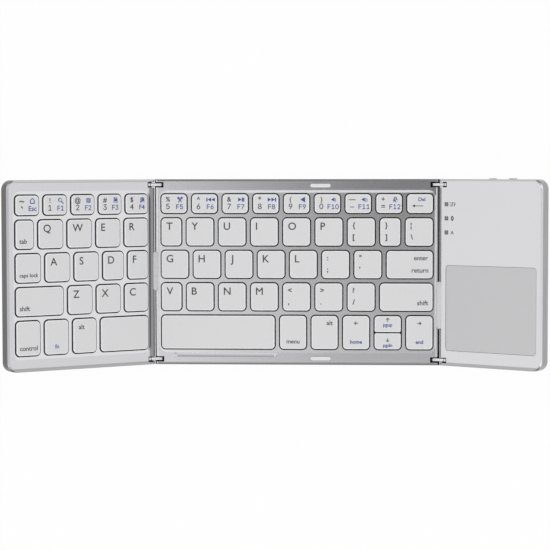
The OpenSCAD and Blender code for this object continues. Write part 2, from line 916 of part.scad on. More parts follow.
module touchpad_plate() {
    color(touch_grey)
        on_right()
            translate([touch_in, touch_y0, -touch_t])
                linear_extrude(touch_t - touch_sunk) rounded([touch_l, touch_d], touch_r);
}

module touchpad_board() {
    color(board_green)
        on_right()
            translate([touch_in + sensor_in, touch_y0 + sensor_in, -touch_t - sensor_t])
                cube([touch_l - 2 * sensor_in, touch_d - 2 * sensor_in, sensor_t]);
}

// Main board with its controller, its radio module and the pairing button's switch
module main_board() {
    color(board_green)
        on_right() {
            translate([board_x0, board_front, board_under]) cube([board_l, board_d, board_t]);
            on_board(controller_at, controller_size);
            on_board(radio_at, radio_size);
            on_board([button_x - tact_l / 2 - board_x0, tact_rear - tact_d - board_front],
                [tact_l, tact_d, socket_h]);
        }
}

// Block soldered to the main board, with its left front corner at the given place
module on_board(place, size) {
    translate([board_x0 + place.x, board_front + place.y, board_top - board_t / 2])
        cube([size.x, size.y, size.z + board_t / 2]);
}

module battery() {
    color(steel)
        on_right()
            translate([touch_in + (touch_l - battery_l) / 2, touch_y0 + battery_in, parting])
                cube([battery_l, battery_d, battery_t]);
}

// Metal shell of the socket with its tongue, open to the rear
module charging_socket() {
    sheet = 0.35;
    corner = 0.7;
    sunk = 0.2;
    tongue_t = 0.5;
    tongue_in = 1;
    color(steel)
        on_right()
            translate([socket_x, half_d - sunk, board_top])
                rotate([90, 0, 0]) {
                    difference() {
                        linear_extrude(socket_l) socket_section(socket_w, socket_h, corner);
                        translate([0, sheet, -over])
                            linear_extrude(socket_l - sheet + over)
                                socket_section(socket_w - 2 * sheet, socket_h - 2 * sheet, corner);
                    }
                    translate([-socket_w / 4, socket_h / 2, tongue_in])
                        cube([socket_w / 2, tongue_t, socket_l - tongue_in - sheet / 2]);
                }
}

// Opening with its two lower corners cut off
module socket_section(w, h, corner) {
    polygon([
        [-w / 2 + corner, 0], [w / 2 - corner, 0], [w / 2, corner],
        [w / 2, h], [-w / 2, h], [-w / 2, corner]
    ]);
}

module power_switch_body() {
    color(steel)
        on_right()
            translate([knob_slot_x - switch_body_l / 2, control_y0 - 0.1 - switch_body_d, board_top])
                cube([switch_body_l, switch_body_d, socket_h]);
}

module power_switch_knob() {
    color(pale)
        on_right()
            translate([knob_x0, control_y0, control_z - control_h / 2])
                cube([knob_l, half_d + control_proud - control_y0, control_h]);
}

module pairing_button() {
    color(pale)
        on_right()
            translate([button_x - button_l / 2, control_y0, control_z - control_h / 2])
                cube([button_l, half_d + control_proud - control_y0, control_h]);
}

module indicator_lenses() {
    color(dark)
        on_right()
            for (i = [0:2])
                translate([lamp_x, lamp_y - i * lamp_pitch, -lens_sunk - lens_h / 2])
                    cube([lamp_size, lamp_size, lens_h], center = true);
}

module right_feet() {
    color(dark) on_right() both_edges() foot(right_w - wing_foot_out);
}

module right_screws() {
    color(steel) on_right() both_edges() for (x = right_screw_x) screw(x);
}

// Double-pivot links with round ends and a narrower waist, one at the rear and one at the front
module links(side, open) {
    color(steel)
        on_link(side, open)
            both_edges()
                difference() {
                    union() {
                        for (x = [0, link_span])
                            rod(side * x, 0, link_r, pocket_mid - link_t / 2, pocket_mid + link_t / 2);
                        translate([side * link_span / 2, pocket_mid, 0])
                            cube([link_span, link_t, link_waist], center = true);
                    }
                    for (x = [0, link_span])
                        rod(side * x, 0, pin_r, pocket_mid - link_t, pocket_mid + link_t);
                }
}

module pins(side, open) {
    pin_start = pocket_mid - pocket_w / 2 - pin_seat + pin_end_gap;
    color(steel)
        on_link(side, open)
            both_edges()
                for (x = [0, link_span])
                    rod(side * x, 0, pin_r, pin_start, pin_start + pin_l - 2 * pin_end_gap);
}

module left_hinge_links() {
    links(-1, left_open);
}

module left_hinge_pins() {
    pins(-1, left_open);
}

module right_hinge_links() {
    links(1, right_open);
}

module right_hinge_pins() {
    pins(1, right_open);
}

// One half of a flex cable: it lies in the notch and dives through the slot into the panel. x runs
// from the knee at the slit into the panel.
module cable_half(knee_x, cable_l, cable_y) {
    x1 = dive_x + cable_clear;
    under = membrane_top + cable_clear;
    translate([0, cable_y - cable_l / 2, 0]) {
        translate([knee_x, 0, cable_z]) cube([x1 + cable_t - knee_x, cable_l, cable_t]);
        translate([x1, 0, under]) cube([cable_t, cable_l, cable_z + cable_t - under]);
        translate([x1, 0, under]) cube([cable_tail, cable_l, cable_t]);
    }
}

// The two halves meet at a round knee on the plane midway between the panels.
module flex_cable(side, open, cable_l, cable_y) {
    mid_z = pivot_down + cable_z + cable_t / 2;
    knee = pivot_out - (pivot_out - mid_z * sin(open / 2)) / cos(open / 2);
    color(silver) {
        on_centre()
            mirror([side > 0 ? 1 : 0, 0, 0])
                translate([-centre_w / 2, 0, 0]) {
                    cable_half(knee, cable_l, cable_y);
                    rod(knee, mid_z - pivot_down, 0.6 * cable_t, cable_y - cable_l / 2,
                        cable_y + cable_l / 2);
                }
        at_pivot(side, open)
            mirror([side < 0 ? 1 : 0, 0, 0])
                cable_half(knee, cable_l, cable_y);
    }
}

module left_flex_cable() {
    flex_cable(-1, left_open, left_cable_l, left_cable_y);
}

module right_flex_cable() {
    flex_cable(1, right_open, right_cable_l, right_cable_y);
}

// Keys, row by row from the rear. The first number is the row and the list holds the columns.
module left_number_keys() {
    left_caps(0, [0:4]);
}

module tab_key() {
    left_caps(1, [0]);
}

module left_upper_keys() {
    left_caps(1, [1:4]);
}

module caps_lock_key() {
    left_caps(2, [0]);
}

module left_home_keys() {
    left_caps(2, [1:4]);
}

module left_shift_key() {
    left_caps(3, [0]);
}

module left_lower_keys() {
    left_caps(3, [1:3]);
}

module control_key() {
    left_caps(4, [0]);
}

module function_key() {
    left_caps(4, [1]);
}

module left_alt_key() {
    left_caps(4, [2]);
}

module left_space_key() {
    left_caps(4, [3]);
}

module centre_number_keys() {
    centre_caps(0, [0:7]);
}

module delete_key() {
    centre_caps(0, [8]);
}

module centre_upper_keys() {
    centre_caps(1, [0:8]);
}

module centre_home_keys() {
    centre_caps(2, [0:6]);
}

module enter_key() {
    centre_caps(2, [7]);
}

module centre_lower_keys() {
    centre_caps(3, [0:6]);
}

module right_shift_key() {
    centre_caps(3, [7]);
}

module space_key() {
    centre_caps(4, [0]);
}

module menu_key() {
    centre_caps(4, [1]);
}

module right_alt_key() {
    centre_caps(4, [2]);
}

module left_arrow_key() {
    centre_caps(4, [3]);
}

module up_arrow_key() {
    arrow_cap(1);
}

module down_arrow_key() {
    arrow_cap(0);
}

module right_arrow_key() {
    centre_caps(4, [5]);
}

centre_bottom_cover();
centre_key_frame();
centre_base_plate();
centre_membrane();
centre_rubber_domes();
centre_feet();
centre_screws();
bumper_pads();
left_bottom_cover();
left_key_frame();
left_base_plate();
left_membrane();
left_rubber_domes();
left_feet();
left_screws();
right_bottom_cover();
right_top_cover();
touchpad_plate();
touchpad_board();
main_board();
battery();
charging_socket();
power_switch_body();
power_switch_knob();
pairing_button();
indicator_lenses();
right_feet();
right_screws();
left_hinge_links();
left_hinge_pins();
right_hinge_links();
right_hinge_pins();
left_flex_cable();
right_flex_cable();
left_number_keys();
left_upper_keys();
left_home_keys();
left_lower_keys();
tab_key();
caps_lock_key();
left_shift_key();
control_key();
function_key();
left_alt_key();
left_space_key();
centre_number_keys();
centre_upper_keys();
centre_home_keys();
centre_lower_keys();
delete_key();
enter_key();
right_shift_key();
space_key();
menu_key();
right_alt_key();
left_arrow_key();
up_arrow_key();
down_arrow_key();
right_arrow_key();
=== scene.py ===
import bmesh
import bpy
import json
import math
from mathutils import Matrix, Vector

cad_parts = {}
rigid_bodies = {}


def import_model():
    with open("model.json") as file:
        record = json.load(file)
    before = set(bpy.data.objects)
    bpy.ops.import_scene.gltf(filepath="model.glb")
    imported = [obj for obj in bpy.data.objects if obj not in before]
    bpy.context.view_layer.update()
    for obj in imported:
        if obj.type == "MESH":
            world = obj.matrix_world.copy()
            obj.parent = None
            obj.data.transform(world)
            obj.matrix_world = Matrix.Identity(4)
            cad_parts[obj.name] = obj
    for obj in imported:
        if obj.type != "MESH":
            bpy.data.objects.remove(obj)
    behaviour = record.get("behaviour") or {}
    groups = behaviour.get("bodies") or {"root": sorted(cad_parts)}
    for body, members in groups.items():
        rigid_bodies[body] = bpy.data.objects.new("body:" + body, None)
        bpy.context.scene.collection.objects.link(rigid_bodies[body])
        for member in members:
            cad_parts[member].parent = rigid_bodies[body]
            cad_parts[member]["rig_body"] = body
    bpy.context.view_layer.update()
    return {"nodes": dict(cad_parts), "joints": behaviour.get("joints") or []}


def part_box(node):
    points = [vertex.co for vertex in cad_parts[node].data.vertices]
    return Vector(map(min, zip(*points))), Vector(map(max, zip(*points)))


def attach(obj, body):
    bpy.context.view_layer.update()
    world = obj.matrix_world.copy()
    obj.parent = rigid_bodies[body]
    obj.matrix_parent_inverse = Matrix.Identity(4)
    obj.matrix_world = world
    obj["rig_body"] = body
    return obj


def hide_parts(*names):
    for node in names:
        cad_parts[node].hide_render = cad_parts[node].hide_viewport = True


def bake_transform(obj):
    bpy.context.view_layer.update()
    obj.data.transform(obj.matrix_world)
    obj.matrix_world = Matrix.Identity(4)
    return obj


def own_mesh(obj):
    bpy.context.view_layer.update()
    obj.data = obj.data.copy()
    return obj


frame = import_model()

mm = 0.001


# Where it is looked at from: about a metre above the keys and a little to the right, leaning three
# degrees, with a long lens, so that the raised wings look narrower and hardly any taller.
bpy.ops.object.camera_add()
camera = bpy.context.object
camera.name = "camera_over_the_keys"
camera.data.sensor_width = 36
camera.data.lens = 130.32
leaning = (
    Matrix.Rotation(math.radians(0.08), 3, "Z")
    @ Matrix.Rotation(math.radians(3.18), 3, "X")
    @ Matrix.Rotation(math.radians(-3.35), 3, "Y")
)
camera.matrix_world = Matrix.Translation((57.57 * mm, 55.4 * mm, 1028.8 * mm)) @ leaning.transposed().to_4x4()
camera.data.clip_end = 50
bpy.context.scene.camera = camera


# The white table and the light tent around it: a soft even dome of light, a little brighter at the
# front and left, with a dim patch straight overhead, where the photographer's camera hangs.
class Blend:
    """A number or a colour on its way through a tree of nodes, so that it can be added, scaled and so on."""

    def __init__(self, tree, socket):
        self.tree, self.socket = tree, socket

    def node(self, kind, settings=(), values=(), output=0):
        """Any other node of the tree: its type, its settings, its sockets' values or links, its output."""
        made = self.tree.nodes.new(kind)
        for name, setting in dict(settings).items():
            if name == "stops":
                for stop, (position, colour) in zip(made.color_ramp.elements, setting):
                    stop.position, stop.color = position, colour
            else:
                setattr(made, name, setting)
        for name, value in dict(values).items():
            if isinstance(value, Blend):
                self.tree.links.new(value.socket, made.inputs[name])
            else:
                made.inputs[name].default_value = value
        return Blend(self.tree, made.outputs[output])

    def maths(self, operation, first, second, clamped=False):
        settings = {"operation": operation, "use_clamp": clamped}
        return self.node("ShaderNodeMath", settings, {0: first, 1: second})

    def __add__(self, other):
        return self.maths("ADD", self, other)

    def __radd__(self, other):
        return self.maths("ADD", other, self)

    def __sub__(self, other):
        return self.maths("SUBTRACT", self, other)

    def __rsub__(self, other):
        return self.maths("SUBTRACT", other, self)

    def __mul__(self, other):
        return self.maths("MULTIPLY", self, other)

    def __rmul__(self, other):
        return self.maths("MULTIPLY", other, self)

    def __truediv__(self, other):
        return self.maths("DIVIDE", self, other)

    def __rtruediv__(self, other):
        return self.maths("DIVIDE", other, self)

    def between(self, low, high):
        """0 at low and 1 at high, with a smooth rise between."""
        settings = {"interpolation_type": "SMOOTHSTEP"}
        return self.node("ShaderNodeMapRange", settings, {"Value": self, "From Min": low, "From Max": high})

    def colours(self, dark, light):
        """The colour between two colours, by this number from 0 to 1."""
        return self.node("ShaderNodeMix", {"data_type": "RGBA"}, {0: self, 6: dark, 7: light}, output=2)

    def feeds(self, socket):
        self.tree.links.new(self.socket, socket)


tent = bpy.data.worlds.new("light_tent")
tent.use_nodes = True
bpy.context.scene.world = tent
bpy.context.scene.view_settings.view_transform = "Standard"
sky = Blend(tent.node_tree, None)
direction = sky.node("ShaderNodeTexCoord", output="Generated")


def sideness(x, y, z):
    """How nearly a ray from the tent runs along a direction, as a cosine."""
    along = Vector((x, y, z)).normalized()
    return direction.node("ShaderNodeVectorMath", {"operation": "DOT_PRODUCT"}, {0: direction, 1: along}, output="Value")


def away_from(x, y, z):
    """How far a ray from the tent is turned from a direction, in degrees."""
    cosine = sideness(x, y, z)
    return cosine.node("ShaderNodeMath", {"operation": "ARCCOSINE"}, {0: cosine}) * math.degrees(1)


overhead = 1 - away_from(0.019, 0.002, 1).between(-0.6, 13.9)
rear_gap = 1 - away_from(0, 0.94, 0.34).between(14, 30)
front_gap = 1 - away_from(0, -0.97, 0.22).between(14, 30)
right_side = sideness(1, 0, 0).between(0.55, 0.9)
left_side = sideness(-1, 0, 0).between(0.55, 0.9)
glow = 1.0 - overhead - 0.7 * rear_gap - 0.66 * front_gap - 0.22 * right_side - 0.14 * left_side
camera_ray = direction.node("ShaderNodeLightPath", output="Is Camera Ray")
background = tent.node_tree.nodes["Background"]
background.inputs["Color"].default_value = (1, 1, 1, 1)
(glow + camera_ray * (1 - glow)).feeds(background.inputs["Strength"])

bpy.ops.mesh.primitive_plane_add(size=8, location=(0, 0, -0.00002))
table = bpy.context.object
table.name = "white_table"
bpy.ops.object.transform_apply(location=True, rotation=True, scale=True)
white = bpy.data.materials.new("white_table")
white.use_nodes = True
table.data.materials.append(white)
paper = Blend(white.node_tree, white.node_tree.nodes["Principled BSDF"].outputs[0])
white.node_tree.nodes["Principled BSDF"].inputs["Base Color"].default_value = (0.88, 0.88, 0.88, 1)
white.node_tree.nodes["Principled BSDF"].inputs["Roughness"].default_value = 0.9
seen = paper.node("ShaderNodeLightPath", output="Is Camera Ray")
mirrored = paper.node("ShaderNodeLightPath", output="Is Glossy Ray")
through = paper.node("ShaderNodeLightPath", output="Is Transmission Ray")
plain = paper.node("ShaderNodeEmission", (), {"Color": (1, 1, 1, 1), "Strength": 1.0})
share = seen.maths("MAXIMUM", seen, seen.maths("MAXIMUM", mirrored, through)) * 0.96
paper.node("ShaderNodeMixShader", (), {0: share, 1: paper, 2: plain}).feeds(
    white.node_tree.nodes["Material Output"].inputs["Surface"]
)


# Aluminium shells: the two key frames and the touchpad wing's top cover, milled from sheet, blasted to a
# fine satin, clear anodised, and screwed to their bottom covers from below. Edges are just broken.
def just(piece):
    """Selects one object and makes it the active one."""
    bpy.ops.object.select_all(action="DESELECT")
    piece.select_set(True)
    bpy.context.view_layer.objects.active = piece
    return piece


def finish(name, **fixed):
    """A new material. Its shader gets the fixed values, and the place on the object comes back with it."""
    material = bpy.data.materials.new(name)
    material.use_nodes = True
    shader = material.node_tree.nodes["Principled BSDF"]
    for socket, value in fixed.items():
        shader.inputs[socket.replace("_", " ")].default_value = value
    start = Blend(material.node_tree, None)
    return material, shader, start.node("ShaderNodeTexCoord", output="Object")


def grains(place, scale, detail=2.0, roughness=0.5):
    """Noise on the object, with a scale for each axis, in grains to the metre."""
    stretched = place.node("ShaderNodeMapping", (), {"Vector": place, "Scale": scale})
    values = {"Vector": stretched, "Scale": 1.0, "Detail": detail, "Roughness": roughness}
    return place.node("ShaderNodeTexNoise", (), values)


def raised(height, distance, strength=1.0):
    """A surface's normal with the height worked into it."""
    values = {"Height": height, "Distance": distance, "Strength": strength}
    return height.node("ShaderNodeBump", (), values)


def flattened(piece):
    """Keeps the shading of broad flat faces flat, right up to their rounded edges."""
    even = piece.modifiers.new("even", "WEIGHTED_NORMAL")
    even.keep_sharp, even.weight = True, 100
    bpy.ops.object.modifier_apply(modifier=even.name)


def softened(node, width, segments=1, angle=30):
    """A copy of a CAD solid with its sharp edges taken off, to stand for it."""
    solid = frame["nodes"][node]
    piece = bpy.data.objects.new(node + "_finished", solid.data.copy())
    bpy.context.scene.collection.objects.link(piece)
    piece.data.materials.clear()
    just(piece)
    bpy.ops.object.mode_set(mode="EDIT")
    bpy.ops.mesh.select_all(action="SELECT")
    bpy.ops.mesh.remove_doubles(threshold=2e-6)
    bpy.ops.mesh.dissolve_limited(angle_limit=math.radians(0.6))
    bpy.ops.object.mode_set(mode="OBJECT")
    bevel = piece.modifiers.new("edges", "BEVEL")
    bevel.width, bevel.segments = width, segments
    bevel.limit_method, bevel.angle_limit = "ANGLE", math.radians(angle)
    bpy.ops.object.modifier_apply(modifier=bevel.name)
    bpy.ops.object.shade_smooth_by_angle(angle=math.radians(24 if segments == 1 else 40))
    flattened(piece)
    return piece


def stands_for(piece, node, material):
    """The piece takes the place of a CAD solid: the solid is hidden, and the piece takes its body and the material."""
    piece.data.materials.append(material)
    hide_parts(node)
    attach(piece, frame["nodes"][node]["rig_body"])
    return piece


def raised_wing(joint_name, side):
    """Where a raised wing's own flat drawing lies: its outer pivot, and the angle it is raised to."""
    joint = next(j for j in frame["joints"] if j["name"] == joint_name)
    raised_by = 2 * joint["range_deg"][0] * side
    return (
        Matrix.Translation(joint["pos_m"])
        @ Matrix.Rotation(math.radians(raised_by), 4, "Y")
        @ Matrix.Translation((-side * 3.1 * mm, 0, 2.8 * mm))
    )


def flat_middle():
    low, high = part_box("centre_key_frame")
    return Matrix.Translation(((low.x + high.x) / 2, 0, high.z))


on_left = raised_wing("left_wing_fold", -1)
on_right = raised_wing("right_wing_fold", 1)
on_middle = flat_middle()


def satin_finish(name, tone, painted_shade=()):
    """Blasted and anodised aluminium in a given tone. Each painted shade is an axis, where it is darkest, where it
    ends, and its share.
    """
    material, shader, place = finish(name, Metallic=1.0)
    blasted = grains(place, (9000, 9000, 9000), detail=1.0)
    brushed = grains(place, (60, 2600, 60), detail=3.0)
    clouded = grains(place, (22, 22, 22), detail=2.0)
    mottle = blasted * 0.5 + brushed * 0.25 + clouded * 0.25
    low, high = (0.97 * tone, 0.97 * tone, 0.99 * tone, 1), (1.02 * tone, 1.02 * tone, 1.045 * tone, 1)
    colour = mottle.between(0.25, 0.75).colours(low, high)
    # Painted shade: the colour is multiplied darker along an axis, towards an edge or a seam.
    for axis, darkest, ends, share in painted_shade:
        along = place.node("ShaderNodeSeparateXYZ", (), {"Vector": place}, output=axis)
        rise = along.between(min(darkest, ends), max(darkest, ends))
        amount = rise if darkest > ends else 1 - rise
        settings = {"data_type": "RGBA", "blend_type": "MULTIPLY"}
        colour = colour.node("ShaderNodeMix", settings, {0: amount, 6: colour, 7: (share, share, share, 1)}, output=2)
    colour.feeds(shader.inputs["Base Color"])
    (0.13 + 0.06 * mottle).feeds(shader.inputs["Roughness"])
    raised(blasted * 0.8 + brushed * 0.2, 0.000002, 0.3).feeds(shader.inputs["Normal"])
    return material


def flank(name, tone):
    """The outer walls' metal: drawn grain, in a dark tone that is painted shade."""
    material, shader, place = finish(name, Metallic=1.0)
    drawn = grains(place, (70, 70, 2600), detail=3.0)
    low, high = (0.9 * tone, 0.9 * tone, 0.93 * tone, 1), (1.1 * tone, 1.1 * tone, 1.13 * tone, 1)
    drawn.between(0.25, 0.75).colours(low, high).feeds(shader.inputs["Base Color"])
    (0.24 + 0.10 * drawn).feeds(shader.inputs["Roughness"])
    return material


# Painted shade: a near-black matt material laid on the walls of the key openings and hinge pockets, and on the rolled
# edges down in the slits.
shaded, shaded_shader, shaded_place = finish("shaded_inside", Metallic=0.0, Roughness=0.7)
shade_grain = grains(shaded_place, (900, 900, 900), detail=3.0)
shade_grain.between(0.3, 0.7).colours((0.035, 0.035, 0.038, 1), (0.055, 0.055, 0.058, 1)).feeds(shaded_shader.inputs["Base Color"])


def lined(piece, place, lining, belongs):
    """Gives one more material to the faces that belong to it, told by their place and normal on the flat panel."""
    piece.data.materials.append(lining)
    back = place.inverted()
    for face in piece.data.polygons:
        if belongs(back @ face.center / mm, back.to_3x3() @ face.normal):
            face.material_index = len(piece.data.materials) - 1


def outer_wall(edges):
    """Tells the upright outer walls below the top bevel. Edges are the panel's left and right ends that show."""
    def belongs(middle, normal):
        outside = abs(middle.y) > 42.7 or any(abs(middle.x - edge) < 5.2 for edge in edges)
        return outside and abs(normal.z) < 0.3 and middle.z < -1.0 and middle.to_2d().dot(normal.to_2d()) > 0

    return belongs


def end_wall(middle, normal):
    """Tells the left wing's upright outer end."""
    return middle.x < -79.2 and normal.x < -0.3 and abs(normal.z) < 0.3 and middle.z < -1.0


def shoulder(side_x, side_y):
    """Tells the sloping shoulder along one outer edge, the one that faces the side."""
    def belongs(middle, normal):
        sloping = 0.4 < normal.z < 0.97 and middle.z > -0.8 and (abs(middle.y) > 46.5 or abs(middle.x) > 50)
        return sloping and normal.x * side_x + normal.y * side_y > 0.26

    return belongs


def inside(hinges, keys, seam):
    """Tells what lies in the shade: the walls of the key openings and of the hinge pockets, and the rolled edges."""
    def belongs(middle, normal):
        to_hinge = min(abs(middle.x - hinge) for hinge in hinges)
        in_opening = keys and middle.z < -1.02 and abs(middle.y) < 42.4 and to_hinge > 2.6
        in_pocket = 43.4 < abs(middle.y) < 46.6 and to_hinge < 5.3 and middle.z < -0.05
        in_slit = to_hinge < 1.6 and middle.z < seam
        return in_opening or in_pocket or in_slit

    return belongs


def tray_floor(middle, normal):
    """Tells the sunk floor between the keys."""
    return normal.z > 0.99 and abs(middle.z + 1) < 0.05


def lip(hinge, near, far):
    """Tells a strip of the rolled lip beside a hinge line, between two distances from it."""
    def belongs(middle, normal):
        return near < abs(middle.x - hinge) < far and middle.z > -1.5 and abs(normal.z) < 0.999

    return belongs


def scoop_end(middle, normal):
    """Tells the thumb scoop's slanting ends."""
    return -44 < middle.y < -40.3 and -1.0 < middle.z < 0 and normal.z < 0.9 and abs(normal.x) > 0.3


def scoop_floor(middle, normal):
    """Tells the thumb scoop's sloping floor."""
    return 0.2 < normal.y < 0.35 and -44 < middle.y < -41 and middle.z > -0.9


def catching_light(material, axis, starts, full):
    """Turns the metal of a strip into pale non-metal, a painted highlight, from where it starts to where it is full."""
    shader = material.node_tree.nodes["Principled BSDF"]
    place = Blend(material.node_tree, None).node("ShaderNodeTexCoord", output="Object")
    along = place.node("ShaderNodeSeparateXYZ", (), {"Vector": place}, output=axis)
    before = shader.inputs["Metallic"]
    metal = Blend(material.node_tree, before.links[0].from_socket) if before.links else 1.0
    (metal - 0.9 * along.between(starts, full)).feeds(before)


# Painted highlight: a bright white non-metal laid on strips of the rolled lips and on the thumb scoop's slanting ends.
bright_lip, bright_lip_shader, bright_lip_place = finish("bright_lip", Metallic=0.0, Roughness=0.4)
highlight_grain = grains(bright_lip_place, (6000, 6000, 6000), detail=1.0)
highlight_grain.between(0.3, 0.7).colours((0.93, 0.93, 0.94, 1), (0.98, 0.98, 0.99, 1)).feeds(bright_lip_shader.inputs["Base Color"])
# Painted shade: copies of the satin painted darker, for the strips of the rolled lips beside the hinges and for the
# sloping shoulders, each by how it is lit.
grey_lip, pale_lip = satin_finish("grey_lip", 0.42), satin_finish("pale_lip", 0.62)
dark_lip, front_shoulder = satin_finish("dark_lip", 0.27), satin_finish("front_shoulder", 0.43)
rear_shoulder, end_shoulder = satin_finish("rear_shoulder", 0.55), satin_finish("end_shoulder", 0.58)
middle_shoulder = satin_finish("middle_shoulder", 0.66)
# Painted shade: the thumb scoop's floor is a darker copy of the satin, deepening towards its front edge.
scooped = satin_finish("thumb_scoop", 0.64, [("Y", -43.7 * mm, -42.0 * mm, 0.55)])
# Painted shade on the upright outer walls, darker still on the left wing's end wall.
end_wall_shade, wall_shade = flank("end_wall_shade", 0.12), flank("wall_shade", 0.36)
lip_edge, lip_end, beside_seam, clear_of_seam = (
    (on_left @ Vector((-reach * mm, 0, -mm))).x for reach in (3.3, 3.9, 3.7, 5.4)
)
right_end = on_middle.translation.x + 73.65 * mm
# Painted light: the tray floors are copies of the satin painted lighter, for the light that the white caps throw on
# them.
middle_floor = satin_finish("middle_tray_floor", 0.93)
# Painted highlight along the tray floor's rear edge and along its right end beside the hinge.
catching_light(middle_floor, "Y", 40.7 * mm, 41.1 * mm)
catching_light(middle_floor, "X", right_end - 3.0 * mm, right_end - 2.6 * mm)
# The left tray floor also has painted shade beside the hinge seam.
left_floor = satin_finish("left_tray_floor", 0.92, [("X", beside_seam, clear_of_seam, 0.5)])
# Painted shade along the shells' edges: the centre and the right wing darker along the front edge, the left wing along
# its front and rear edges and beside its hinge.
satin = satin_finish("satin_aluminium", 0.80, [("Y", -46.6 * mm, -46.2 * mm, 0.75)])
wing_edge_shade = [("Y", -46.2 * mm, -45.7 * mm, 0.62)]
left_edge_shade = wing_edge_shade + [("Y", 46.7 * mm, 46.2 * mm, 0.7), ("X", lip_edge, lip_end, 0.45)]
left_satin = satin_finish("left_satin", 0.80, left_edge_shade)
right_satin = satin_finish("right_satin", 0.80, wing_edge_shade)

shell = stands_for(softened("centre_key_frame", 0.12 * mm), "centre_key_frame", satin)
for corner in shell.data.vertices:
    flat = on_middle.inverted() @ corner.co / mm
    for end, inward in ((-9.8, -1.3), (-63.6, 1.3)):
        if (flat - Vector((end, -41.8, -0.56))).length < 0.35:
            corner.co.x += inward * mm
lined(shell, on_middle, middle_floor, tray_floor)
lined(shell, on_middle, scooped, scoop_floor)
lined(shell, on_middle, bright_lip, scoop_end)
lined(shell, on_middle, bright_lip, lip(73.65, 1.95, 2.5))
lined(shell, on_middle, grey_lip, lip(73.65, 0.95, 1.95))
lined(shell, on_middle, pale_lip, lip(73.65, 0.6, 0.95))
lined(shell, on_middle, pale_lip, lip(-73.65, 0.3, 1.15))
lined(shell, on_middle, bright_lip, lip(-73.65, 1.15, 2.2))
lined(shell, on_middle, middle_shoulder, shoulder(0, -1))
lined(shell, on_middle, middle_shoulder, shoulder(0, 1))
lined(shell, on_middle, shaded, inside((-73.65, 73.65), True, -2.0))
lined(shell, on_middle, wall_shade, outer_wall(()))

shell = stands_for(softened("left_key_frame", 0.12 * mm), "left_key_frame", left_satin)
lined(shell, on_left, left_floor, tray_floor)
lined(shell, on_left, dark_lip, lip(0, 0.9, 2.4))
lined(shell, on_left, grey_lip, lip(0, 0.1, 0.9))
lined(shell, on_left, end_shoulder, shoulder(-1, 0))
lined(shell, on_left, rear_shoulder, shoulder(0, 1))
lined(shell, on_left, front_shoulder, shoulder(0, -1))
lined(shell, on_left, shaded, inside((0,), True, -1.5))
lined(shell, on_left, wall_shade, outer_wall((-84.4,)))
lined(shell, on_left, end_wall_shade, end_wall)

shell = stands_for(softened("right_top_cover", 0.12 * mm), "right_top_cover", right_satin)
lined(shell, on_right, rear_shoulder, shoulder(0, 1))
lined(shell, on_right, front_shoulder, shoulder(0, -1))
lined(shell, on_right, shaded, inside((0,), False, -0.6))
lined(shell, on_right, wall_shade, outer_wall((59.8,)))


# Bottom covers: the same sheet, anodised one shade darker, flat underneath with bevelled edges, with
# seats for the rubber feet and counterbores for the screws that hold the shells together.
undersheet, undersheet_shader, undersheet_place = finish("cover_aluminium", Metallic=1.0)
milled = grains(undersheet_place, (50, 2200, 50), detail=3.0)
pitted = grains(undersheet_place, (8000, 8000, 8000), detail=1.0)
shade = milled * 0.5 + pitted * 0.5
shade.between(0.25, 0.75).colours((0.56, 0.56, 0.58, 1), (0.64, 0.64, 0.66, 1)).feeds(undersheet_shader.inputs["Base Color"])
(0.28 + 0.10 * shade).feeds(undersheet_shader.inputs["Roughness"])
raised(shade, 0.000002, 0.4).feeds(undersheet_shader.inputs["Normal"])
for node, place, ends in (
    ("centre_bottom_cover", on_middle, ()),
    ("left_bottom_cover", on_left, (-84.4,)),
    ("right_bottom_cover", on_right, (59.8,)),
):
    cover = stands_for(softened(node, 0.12 * mm), node, undersheet)
    lined(cover, place, wall_shade, outer_wall(ends))
    if node.startswith("left"):
        lined(cover, place, end_wall_shade, end_wall)


# Keycaps: white moulded plastic with a matt top, a narrow polished bevel painted whiter as a highlight, skirts painted
# dark as shade, and a hollow underside, each on its own rubber dome. Caps that move together are one piece.
def pick(mesh_edit, faces=None, edges=None):
    """In edit mode, selects just the faces, or just the edges, that the test says yes to."""
    bpy.ops.mesh.select_all(action="DESELECT")
    shape = bmesh.from_edit_mesh(mesh_edit)
    for face in shape.faces if faces else ():
        face.select_set(faces(face))
    for edge in shape.edges if edges else ():
        if edges(edge):
            edge.select_set(True)
    bmesh.update_edit_mesh(mesh_edit)


